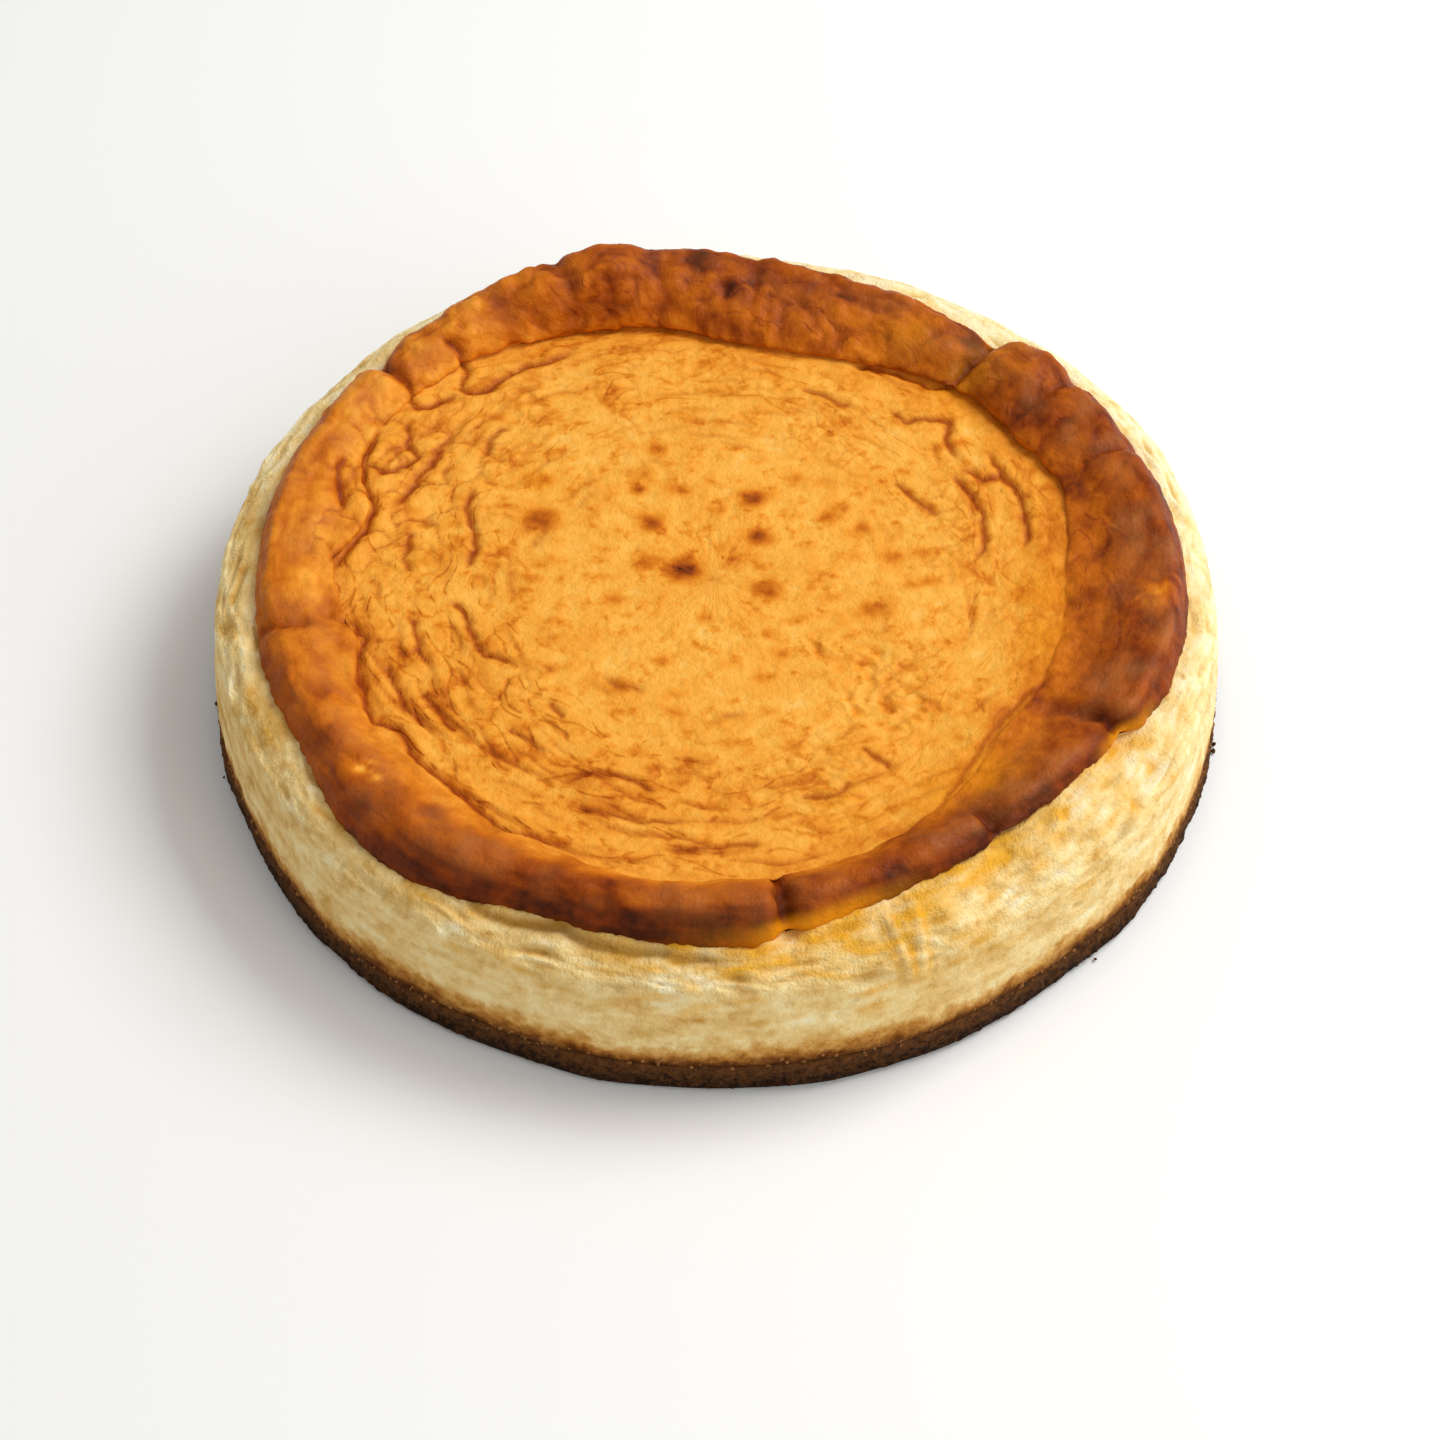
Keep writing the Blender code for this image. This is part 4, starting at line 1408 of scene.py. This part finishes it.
class NodeBench:
    """Adds and joins nodes in one tree."""

    def __init__(self, tree: bpy.types.NodeTree) -> None:
        """Keeps the tree."""
        self.tree = tree

    def add(self, kind: str, **settings: object) -> bpy.types.Node:
        """Adds a node.

        Args:
            kind: The node's type.
            settings: Its properties, by name.

        Returns:
            The node.
        """
        node = self.tree.nodes.new(kind)
        for name, value in settings.items():
            setattr(node, name, value)
        return node

    def feed(self, socket: bpy.types.NodeSocket, value: object) -> None:
        """Joins another node's output to a socket, or sets the socket's own value.

        Args:
            socket: The input to feed.
            value: An output socket, or a plain value.
        """
        if isinstance(value, bpy.types.NodeSocket):
            self.tree.links.new(value, socket)
        else:
            socket.default_value = value

    def calc(self, operation: str, *values: object, clamp: bool = False) -> bpy.types.NodeSocket:
        """A Math node.

        Args:
            operation: The node's operation.
            values: Its inputs, as sockets or numbers.
            clamp: Whether the result is kept from 0 to 1.

        Returns:
            The result.
        """
        node = self.add("ShaderNodeMath", operation=operation, use_clamp=clamp)
        for socket, value in zip(node.inputs, values):
            self.feed(socket, value)
        return node.outputs[0]

    def blend(self, factor: object, first: object, second: object,
              mode: str = "MIX") -> bpy.types.NodeSocket:
        """A Mix node for colours.

        Args:
            factor: How much of the second colour there is.
            first: The first colour.
            second: The second colour.
            mode: How the two are blended.

        Returns:
            The blended colour.
        """
        node = self.add("ShaderNodeMix", data_type="RGBA", blend_type=mode)
        self.feed(node.inputs["Factor"], factor)
        self.feed(node.inputs[6], first)
        self.feed(node.inputs[7], second)
        return node.outputs[2]

    def ramp(self, factor: object, stops: tuple) -> bpy.types.NodeSocket:
        """A colour ramp.

        Args:
            factor: The place on the ramp, as a socket or number.
            stops: The place and colour of each stop.

        Returns:
            The ramp's colour.
        """
        node = self.add("ShaderNodeValToRGB")
        elements = node.color_ramp.elements
        while len(elements) < len(stops):
            elements.new(1.0)
        for element, (place, color) in zip(elements, stops):
            element.position = place
            element.color = color
        self.feed(node.inputs["Fac"], factor)
        return node.outputs["Color"]

    def layer(self, name: str) -> bpy.types.NodeSocket:
        """The value of a point attribute."""
        return self.add("ShaderNodeAttribute", attribute_name=name).outputs["Fac"]

    def group(self, tree: bpy.types.NodeTree, **values: object) -> bpy.types.Node:
        """Places a node group.

        Args:
            tree: The group.
            values: Its inputs by name, with an underscore for each space.

        Returns:
            The group's node.
        """
        node = self.add("ShaderNodeGroup", node_tree=tree)
        for name, value in values.items():
            self.feed(node.inputs[name.replace("_", " ")], value)
        return node

    def noise(self, place: bpy.types.NodeSocket, scale: object, detail: float,
              roughness: float = 0.5) -> bpy.types.NodeSocket:
        """A noise in space.

        Args:
            place: Where it is read.
            scale: How many cells there are to a metre, as a socket or number.
            detail: How many finer layers it has.
            roughness: How strong those are.

        Returns:
            The noise, from 0 to 1.
        """
        node = self.add("ShaderNodeTexNoise", noise_dimensions="3D")
        self.feed(node.inputs["Vector"], place)
        self.feed(node.inputs["Scale"], scale)
        node.inputs["Detail"].default_value = detail
        node.inputs["Roughness"].default_value = roughness
        return node.outputs["Fac"]

    def vary(self, value: object, parts: tuple) -> bpy.types.NodeSocket:
        """Makes a value uneven by noises that lie round one half.

        Args:
            value: The value, as a socket or number.
            parts: Each noise, and how much it counts.

        Returns:
            The uneven value.
        """
        for part, depth in parts:
            value = self.calc("MULTIPLY_ADD", self.calc("SUBTRACT", part, 0.5), depth, value)
        return value

    def bump(self, shader: bpy.types.Node, height: object, strength: float, distance: float) -> None:
        """Gives a shader's surface fine relief.

        Args:
            shader: The shader.
            height: The relief.
            strength: How clear it is, from 0 to 1.
            distance: How high it stands, in metres.
        """
        node = self.add("ShaderNodeBump")
        node.inputs["Strength"].default_value = strength
        node.inputs["Distance"].default_value = distance
        self.feed(node.inputs["Height"], height)
        self.feed(shader.inputs["Normal"], node.outputs["Normal"])


def start_group(name: str, inputs: tuple, outputs: tuple) -> tuple:
    """Starts a shader node group of plain numbers.

    Args:
        name: The group's name.
        inputs: Each input's name and value.
        outputs: The names of its outputs.

    Returns:
        The group, a bench for its nodes, its input node and its output node.
    """
    tree = bpy.data.node_groups.new(name, "ShaderNodeTree")
    for label, value in inputs:
        socket = tree.interface.new_socket(label, in_out="INPUT", socket_type="NodeSocketFloat")
        socket.default_value = value
    for label in outputs:
        tree.interface.new_socket(label, in_out="OUTPUT", socket_type="NodeSocketFloat")
    bench = NodeBench(tree)
    return tree, bench, bench.add("NodeGroupInput"), bench.add("NodeGroupOutput")


def start_material(name: str) -> tuple:
    """Starts a material.

    Args:
        name: The material's name.

    Returns:
        The material, a bench for its nodes, and its shader.
    """
    material = bpy.data.materials.new(name)
    material.use_nodes = True
    return material, NodeBench(material.node_tree), material.node_tree.nodes["Principled BSDF"]


def scatter_light(shader: bpy.types.Node, weight: float, depth: float, spread: tuple) -> None:
    """Lets a little light into a surface.

    Args:
        shader: The shader.
        weight: How much light goes in, from 0 to 1.
        depth: How deep, in metres.
        spread: How far red, green and blue go, as shares of the depth.
    """
    shader.inputs["Subsurface Weight"].default_value = weight
    shader.inputs["Subsurface Radius"].default_value = spread
    shader.inputs["Subsurface Scale"].default_value = depth


def grain_group() -> bpy.types.NodeTree:
    """The grain of food, in two sizes: a height for bumps and a mottle for colours.

    Returns:
        The shader node group, made once.
    """
    name = "food_grain"
    if name in bpy.data.node_groups:
        return bpy.data.node_groups[name]
    tree, bench, inside, outside = start_group(
        name, (("Size", 2.0), ("Fine Size", 0.6), ("Fine Share", 0.4)), ("Height", "Mottle"))
    place = bench.add("ShaderNodeTexCoord").outputs["Object"]
    broad, fine = (
        bench.noise(place, bench.calc("DIVIDE", 1.0 / MM, inside.outputs[label]), detail, 0.55)
        for label, detail in (("Size", 3.0), ("Fine Size", 2.0)))
    fine = bench.calc("MULTIPLY", bench.calc("SUBTRACT", fine, 0.5), inside.outputs["Fine Share"])
    bench.feed(outside.inputs["Height"], bench.calc("ADD", broad, fine))
    bench.feed(outside.inputs["Mottle"], broad)
    return tree


def ring_streak_group() -> bpy.types.NodeTree:
    """Streaks that run round the cake, as its curd tears and its skin wrinkles.

    Returns:
        The shader node group, made once. Along and Across are the streaks' length and width, and
        Edge is the distance to the nearest crack between plates of that size.
    """
    name = "ring_streaks"
    if name in bpy.data.node_groups:
        return bpy.data.node_groups[name]
    tree, bench, inside, outside = start_group(
        name, (("Along", 20.0), ("Across", 4.0), ("Bend", 3.0)), ("Streak", "Edge"))
    place = bench.add("ShaderNodeTexCoord").outputs["Object"]
    split = bench.add("ShaderNodeSeparateXYZ")
    bench.feed(split.inputs[0], place)
    level = [bench.calc("MULTIPLY", axis, axis) for axis in split.outputs[:2]]
    radius = bench.calc("SQRT", bench.calc("ADD", *level))
    turns = bench.calc("DIVIDE", CakeForm.cake_radius, inside.outputs["Along"])
    wander = bench.noise(place, 1.0 / (18.0 * MM), 1.0)
    sway = bench.calc("MULTIPLY", bench.calc("SUBTRACT", wander, 0.5),
                      bench.calc("MULTIPLY", inside.outputs["Bend"], MM))
    height = bench.calc("ADD", bench.calc("SUBTRACT", split.outputs[2], radius), sway)
    joined = bench.add("ShaderNodeCombineXYZ")
    for index in range(2):
        share = bench.calc("DIVIDE", split.outputs[index], bench.calc("MAXIMUM", radius, MM))
        bench.feed(joined.inputs[index], bench.calc("MULTIPLY", share, turns))
    across = bench.calc("MULTIPLY", inside.outputs["Across"], MM)
    bench.feed(joined.inputs[2], bench.calc("DIVIDE", height, across))
    bench.feed(outside.inputs["Streak"], bench.noise(joined.outputs[0], 1.0, 2.0))
    cells = bench.add("ShaderNodeTexVoronoi", feature="DISTANCE_TO_EDGE", voronoi_dimensions="3D")
    bench.feed(cells.inputs["Vector"], joined.outputs[0])
    cells.inputs["Scale"].default_value = 1.0
    bench.feed(outside.inputs["Edge"], cells.outputs["Distance"])
    return tree


@dataclass(frozen=True)
class SkinFinish:
    """Satin skin, browned from pale gold to burnt."""

    roughness: float = 0.46
    gloss: float = 0.1
    subsurface: float = 0.03
    subsurface_depth: float = 0.002
    bump: float = 0.45
    # From pale gold to burnt, by its browning
    tones: tuple = (
        (0.12, screen_tone(255, 226, 170)),
        (0.26, screen_tone(250, 192, 98)),
        (0.34, screen_tone(246, 176, 70)),
        (0.44, screen_tone(238, 156, 48)),
        (0.54, screen_tone(220, 129, 28)),
        (0.64, screen_tone(200, 106, 14)),
        (0.76, screen_tone(170, 81, 8)),
        (0.88, screen_tone(134, 55, 7)),
        (1.0, screen_tone(74, 27, 6)),
    )
    glaze: tuple = screen_tone(240, 152, 14)
    # The pale tone of the painted sheen on the crest
    bloom: tuple = screen_tone(180, 110, 56)
    # The tone multiplied into creases, cracks and folds as painted shade
    crease: tuple = screen_tone(176, 124, 70)
    # How much darker the flecks are, and the crinkles with painted shade in their cracks, on the scale of
    # the browning
    fleck_depth: float = 0.15
    hair_shade_depth: float = 0.13
    hair_sharpness: float = 9.5

    def make(self) -> bpy.types.Material:
        """Makes the material.

        Returns:
            The material, which reads the skin's layers.
        """
        material, bench, shader = start_material("browned_skin")
        coarse = bench.group(grain_group(), Size=7.0, Fine_Size=2.4, Fine_Share=0.8)
        grain = bench.group(grain_group(), Size=1.7, Fine_Size=0.6, Fine_Share=0.5)
        flecks = bench.group(grain_group(), Size=4.4, Fine_Size=2.0, Fine_Share=0.4)
        streak = bench.group(ring_streak_group(), Along=12.0, Across=3.2, Bend=5.0)
        toasted = bench.vary(bench.layer(Layer.TOAST.value), (
            (coarse.outputs["Height"], 0.18), (grain.outputs["Mottle"], 0.05),
            (streak.outputs["Streak"], 0.16)))
        fleck = bench.calc("SUBTRACT", flecks.outputs["Height"], 0.57)
        fleck = bench.calc("MULTIPLY", fleck, 6.0, clamp=True)
        fleck = bench.calc("MULTIPLY", fleck, bench.layer(Layer.FLECK.value))
        toasted = bench.calc("MULTIPLY_ADD", fleck, self.fleck_depth, toasted)
        hair = self._hair_lines(bench, coarse.outputs["Height"])
        # Painted shade in the hair-thin cracks
        toasted = bench.calc("MULTIPLY_ADD", hair, self.hair_shade_depth, toasted)
        color = bench.ramp(toasted, self.tones)
        glaze = bench.calc("MULTIPLY", bench.layer(Layer.GLAZE.value), 0.8, clamp=True)
        color = bench.blend(glaze, color, self.glaze)
        # Painted sheen on the crest
        bloom = bench.calc("MULTIPLY", bench.layer(Layer.PAINTED_SHEEN.value), coarse.outputs["Height"],
                           clamp=True)
        color = bench.blend(bloom, color, self.bloom)
        # Painted shade in the creases, cracks and folds
        color = bench.blend(bench.layer(Layer.CREASE_SHADE.value), color, self.crease, mode="MULTIPLY")
        bench.feed(shader.inputs["Base Color"], color)
        rough = bench.calc("MULTIPLY_ADD", grain.outputs["Mottle"], 0.24, self.roughness - 0.12)
        bench.feed(shader.inputs["Roughness"], rough)
        height = bench.calc("MULTIPLY", grain.outputs["Height"], 0.42)
        for part, depth in ((coarse.outputs["Height"], 1.3), (streak.outputs["Streak"], 1.1),
                            (hair, -0.8)):
            height = bench.calc("MULTIPLY_ADD", part, depth, height)
        bench.bump(shader, height, self.bump, 1.0 * MM)
        shader.inputs["Specular IOR Level"].default_value = self.gloss
        scatter_light(shader, self.subsurface, self.subsurface_depth, (1.0, 0.6, 0.2))
        return material

    def _hair_lines(self, bench: NodeBench, patch: bpy.types.NodeSocket) -> bpy.types.NodeSocket:
        """Hair-thin cracks round the cake, too fine for the mesh.

        Args:
            bench: The bench of the material.
            patch: The noise that breaks the cracks up.

        Returns:
            The socket that gives 1 in a crack and 0 beside it.
        """
        ring = bench.group(ring_streak_group(), Along=26.0, Across=4.8, Bend=15.0)
        hair = bench.calc("MULTIPLY_ADD", ring.outputs["Edge"], -self.hair_sharpness, 1.0, clamp=True)
        patch = bench.calc("SUBTRACT", patch, 0.42)
        patch = bench.calc("MULTIPLY", patch, 6.0, clamp=True)
        hair = bench.calc("MULTIPLY", hair, patch)
        return bench.calc("MULTIPLY", hair, bench.layer(Layer.CRINKLE.value))


@dataclass(frozen=True)
class CurdFinish:
    """Matt cream curd, tan in places, stained yellow under the skin and brown at the foot, with painted
    shade on its shaded sides and in its hollows.
    """

    roughness: float = 0.72
    gloss: float = 0.07
    subsurface: float = 0.05
    subsurface_depth: float = 0.002
    bump: float = 0.6
    tones: tuple = (
        (0.0, screen_tone(255, 240, 196)),
        (0.12, screen_tone(250, 226, 165)),
        (0.30, screen_tone(240, 206, 137)),
        (0.55, screen_tone(216, 169, 88)),
        (0.85, screen_tone(176, 124, 52)),
    )
    # The yellow of the stains, also used for painted warm shade
    stain: tuple = screen_tone(236, 172, 46)
    # The tone of the painted shade in the curd's hollows
    hollow: tuple = screen_tone(168, 120, 40)
    foot: tuple = (
        (0.06, screen_tone(255, 255, 255)),
        (0.34, screen_tone(230, 202, 160)),
        (0.56, screen_tone(184, 142, 94)),
        (0.74, screen_tone(126, 88, 52)),
        (0.92, screen_tone(78, 48, 24)),
    )

    def make(self) -> bpy.types.Material:
        """Makes the material.

        Returns:
            The material, which reads the curd's layers.
        """
        material, bench, shader = start_material("cream_curd")
        coarse = bench.group(grain_group(), Size=9.0, Fine_Size=3.2, Fine_Share=1.0)
        grain = bench.group(grain_group(), Size=1.8, Fine_Size=0.6, Fine_Share=0.7)
        torn = bench.group(ring_streak_group(), Along=9.0, Across=2.8, Bend=4.0)
        tan = bench.vary(bench.layer(Layer.TAN_AND_SHADE.value), (
            (coarse.outputs["Height"], 0.5), (torn.outputs["Streak"], 0.45),
            (grain.outputs["Height"], 0.16)))
        color = bench.ramp(tan, self.tones)
        stain = bench.layer(Layer.STAIN_AND_SHADE.value)
        stain = bench.calc("MULTIPLY", stain, bench.calc("ADD", torn.outputs["Streak"], 0.35), clamp=True)
        color = bench.blend(stain, color, self.stain)
        # Painted shade in the pits, creases and the groove under the lip
        hollow = bench.calc("MULTIPLY", bench.layer(Layer.HOLLOW_SHADE.value), 0.85, clamp=True)
        color = bench.blend(hollow, color, self.hollow)
        foot = bench.vary(bench.layer(Layer.FOOT.value), (
            (grain.outputs["Height"], 0.3), (coarse.outputs["Height"], 0.35)))
        color = bench.blend(1.0, color, bench.ramp(foot, self.foot), mode="MULTIPLY")
        bench.feed(shader.inputs["Base Color"], color)
        rough = bench.calc("MULTIPLY_ADD", grain.outputs["Mottle"], 0.2, self.roughness - 0.1)
        bench.feed(shader.inputs["Roughness"], rough)
        height = bench.calc("ADD", coarse.outputs["Height"], grain.outputs["Height"])
        height = bench.calc("MULTIPLY_ADD", torn.outputs["Streak"], 1.2, height)
        bench.bump(shader, height, self.bump, 1.0 * MM)
        shader.inputs["Specular IOR Level"].default_value = self.gloss
        scatter_light(shader, self.subsurface, self.subsurface_depth, (1.0, 0.85, 0.6))
        return material


@dataclass(frozen=True)
class BiscuitFinish:
    """Dark pressed biscuit crumb, darker towards the foot, where the darkest tone is painted shade under
    the base.
    """

    name: str = "pressed_biscuit"
    # The darkest tone, at the foot, is painted shade
    dark_shade: tuple = screen_tone(34, 17, 6)
    light: tuple = screen_tone(104, 64, 30)
    roughness: float = 0.85
    gloss: float = 0.1
    bump: float = 0.7
    # The height, in metres, over which the crumb grows lighter
    rise: float = 0.011

    def make(self) -> bpy.types.Material:
        """Makes the material.

        Returns:
            The material, on object coordinates.
        """
        material, bench, shader = start_material(self.name)
        grain = bench.group(grain_group(), Size=2.0, Fine_Size=0.8, Fine_Share=0.9)
        split = bench.add("ShaderNodeSeparateXYZ")
        bench.feed(split.inputs[0], bench.add("ShaderNodeTexCoord").outputs["Object"])
        tone = bench.calc("DIVIDE", split.outputs["Z"], self.rise)
        tone = bench.vary(tone, ((grain.outputs["Height"], 1.5),))
        # Darker towards the foot: brown crumb, with painted shade at the bottom
        bench.feed(shader.inputs["Base Color"], bench.ramp(tone, ((0.1, self.dark_shade), (1.0, self.light))))
        rough = bench.calc("MULTIPLY_ADD", grain.outputs["Mottle"], 0.2, self.roughness - 0.1)
        bench.feed(shader.inputs["Roughness"], rough)
        bench.bump(shader, grain.outputs["Height"], self.bump, 0.5 * MM)
        shader.inputs["Specular IOR Level"].default_value = self.gloss
        return material


@dataclass
class BiscuitBase:
    """The pressed biscuit base with its crumbly edge."""

    form: CakeForm
    name: str = "crumb_base"
    columns: int = 1104
    edge_round: float = 1.5
    top_round: float = 0.5
    side_cuts: int = 13
    seed: int = 77

    def build(self) -> bpy.types.Object:
        """Turns the disc and roughens its edge.

        Returns:
            The finished object.
        """
        form = self.form
        radius = form.cake_radius
        height = form.base_height
        stations = np.array((
            (0.0, 0.0), (0.5 * radius, 0.0), (radius - self.edge_round, 0.0),
            (radius - 0.3 * self.edge_round, 0.3 * self.edge_round), (radius, self.edge_round),
            (radius, height - self.top_round), (radius - self.top_round, height),
            (0.9 * radius, height), (0.0, height))) * MM
        cuts = (0, 2, 1, 1, self.side_cuts, 0, 3, 1)
        marks = tuple(float(index) for index in range(len(stations)))
        piece = turned_body(self.name, stations, cuts, self.columns)
        grid = TurnedGrid(piece, stations, cuts, marks, self.columns)
        grid.store(self._places(grid, stations / MM))
        return piece

    def _places(self, grid: TurnedGrid, stations: np.ndarray) -> np.ndarray:
        """The points of the base, with its crumbs and pits.

        Args:
            grid: The table of rings and columns.
            stations: The stations of its section, in millimetres.

        Returns:
            Places in millimetres, by ring and column.
        """
        form = self.form
        azimuths = grid.azimuths
        waves = form.foot(azimuths) + form.waves(form.crumb_waves, azimuths) - form.cake_radius
        angle = np.radians(azimuths)
        marks = np.arange(len(stations), dtype=float)
        radius = np.interp(grid.parameters, marks, stations[:, 0])
        height = np.interp(grid.parameters, marks, stations[:, 1])
        share = radius / form.cake_radius
        reach = radius[:, None] + waves[None, :] * share[:, None]
        x = reach * np.cos(angle)
        y = reach * np.sin(angle)
        z = np.broadcast_to(height[:, None], x.shape)
        lumps = CurdNoise(self.seed)
        grit = CurdNoise(self.seed + 1)
        side = np.exp(-((grid.parameters - 4.6) / 0.9) ** 4)[:, None]
        lump = np.abs(lumps.at(x / 3.4, y / 3.4, z / 3.0))
        moves = side * (0.4 - 1.1 * lump + 0.35 * grit.at(x / 1.5, y / 1.5, z / 1.4))
        moves = np.clip(moves, -0.9, 0.5)
        reach = reach + moves
        return np.stack((reach * np.cos(angle), reach * np.sin(angle), z), axis=2)

    def dress(self, piece: bpy.types.Object) -> None:
        """Gives the base its finish and its place in the frame.

        Args:
            piece: The built base.
        """
        piece.data.materials.clear()
        piece.data.materials.append(BiscuitFinish().make())
        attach(piece, BODY)
        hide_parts("biscuit_base")


@dataclass
class LooseCrumbs:
    """Biscuit crumbs that cling to the seam above the base and lie at its foot."""

    form: CakeForm
    name: str = "loose_crumbs"
    clinging: int = 420
    lying: int = 9
    smallest: float = 0.3
    largest: float = 0.7
    seed: int = 5

    def build(self) -> bpy.types.Object:
        """Models one crumb and sets out its copies.

        Returns:
            All crumbs, joined.
        """
        deselect_all()
        bpy.ops.mesh.primitive_ico_sphere_add(subdivisions=1, radius=MM)
        first = bpy.context.active_object
        bpy.ops.object.mode_set(mode="EDIT")
        bpy.ops.mesh.select_all(action="SELECT")
        bpy.ops.transform.vertex_random(offset=0.35 * MM, seed=self.seed)
        bpy.ops.object.mode_set(mode="OBJECT")
        draw = np.random.default_rng(self.seed)
        copies = []
        for index in range(self.clinging + self.lying):
            azimuth = draw.uniform(0.0, 360.0)
            size = draw.uniform(self.smallest, self.largest)
            foot = float(self.form.foot(np.array(azimuth)))
            if index < self.clinging:
                radius = foot - 0.55 * size
                height = self.form.base_height + draw.normal(0.4, 0.9)
            else:
                radius = foot + draw.uniform(0.6, 1.6)
                height = 1.3 * size
            crumb = first.copy()
            crumb.data = first.data.copy()
            angle = math.radians(azimuth)
            crumb.location = (radius * math.cos(angle) * MM, radius * math.sin(angle) * MM, height * MM)
            crumb.rotation_euler = draw.uniform(0.0, 6.28, 3)
            crumb.scale = size * draw.uniform(0.7, 1.2, 3)
            bpy.context.scene.collection.objects.link(crumb)
            copies.append(crumb)
        bpy.data.objects.remove(first, do_unlink=True)
        deselect_all()
        for crumb in copies:
            crumb.select_set(True)
        bpy.context.view_layer.objects.active = copies[0]
        bpy.ops.object.transform_apply(location=True, rotation=True, scale=True)
        bpy.ops.object.join()
        piece = bpy.context.active_object
        piece.name = self.name
        piece.data.name = self.name
        return piece

    def dress(self, piece: bpy.types.Object) -> None:
        """Gives the crumbs their finish and their place in the frame.

        Args:
            piece: All crumbs, joined.
        """
        piece.data.materials.clear()
        # As on the base, crumbs low on the floor take the darker tone as painted shade
        finish = BiscuitFinish("crumb", screen_tone(84, 50, 26), screen_tone(160, 108, 60))
        piece.data.materials.append(finish.make())
        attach(piece, BODY)


@dataclass(frozen=True)
class SoftLight:
    """A square area light that faces the cake: power in watts, angles in degrees, metres."""

    name: str
    power: float
    azimuth: float
    elevation: float
    distance: float
    side: float

    def build(self) -> None:
        """Adds the light."""
        azimuth = math.radians(self.azimuth)
        elevation = math.radians(self.elevation)
        level = self.distance * math.cos(elevation)
        deselect_all()
        bpy.ops.object.light_add(type="AREA", location=(
            level * math.cos(azimuth), level * math.sin(azimuth), self.distance * math.sin(elevation)))
        light = bpy.context.active_object
        light.name = self.name
        light.data.energy = self.power
        light.data.size = self.side
        light.rotation_euler = (0.5 * math.pi - elevation, 0.0, azimuth + 0.5 * math.pi)


@dataclass
class Studio:
    """The pale floor, the soft light and the camera."""

    floor_side: float = 6.0
    floor_tone: tuple = screen_tone(248, 248, 246)
    world_strength: float = 0.47
    lights: tuple = (
        SoftLight("soft_key", 20.0, 24.0, 50.0, 1.7, 0.9),
        SoftLight("side_fill", 6.0, -38.0, 34.0, 1.7, 1.0),
    )
    camera_place: tuple = (0.0013, -0.5503, 0.6194)
    camera_tilt: float = 41.0
    lens: float = 84.95

    def build(self) -> None:
        """Sets up the stage."""
        self._floor()
        self._light()
        self._camera()
        bpy.context.scene.view_settings.view_transform = "Standard"

    def _floor(self) -> None:
        """A wide pale floor."""
        deselect_all()
        bpy.ops.mesh.primitive_plane_add(size=self.floor_side)
        floor = bpy.context.active_object
        floor.name = "studio_floor"
        material, _, shader = start_material("pale_floor")
        shader.inputs["Base Color"].default_value = self.floor_tone
        shader.inputs["Roughness"].default_value = 0.7
        floor.data.materials.append(material)

    def _light(self) -> None:
        """A soft key from the right, behind, a weak fill in front, and an even white surround."""
        for light in self.lights:
            light.build()
        world = bpy.data.worlds.new("white_room")
        world.use_nodes = True
        world.node_tree.nodes["Background"].inputs["Color"].default_value = (1.0, 0.99, 0.97, 1.0)
        world.node_tree.nodes["Background"].inputs["Strength"].default_value = self.world_strength
        bpy.context.scene.world = world

    def _camera(self) -> None:
        """The camera at the photograph's angle."""
        deselect_all()
        bpy.ops.object.camera_add(location=self.camera_place,
                                  rotation=(math.radians(self.camera_tilt), 0.0, 0.0))
        camera = bpy.context.active_object
        camera.data.lens = self.lens
        camera.data.sensor_width = 36.0
        bpy.context.scene.camera = camera


def main() -> None:
    """Builds and dresses each sub-assembly in order, and logs its points and faces."""
    logging.basicConfig(level=logging.INFO, format="%(message)s")
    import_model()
    form = CakeForm()
    for assembly in (BiscuitBase(form), CreamCurd(form), BrownedSkin(form), LooseCrumbs(form)):
        piece = assembly.build()
        assembly.dress(piece)
        LOG.info("%s: %d points, %d faces", piece.name, len(piece.data.vertices),
                 len(piece.data.polygons))
    Studio().build()


if __name__ == "__main__":
    main()
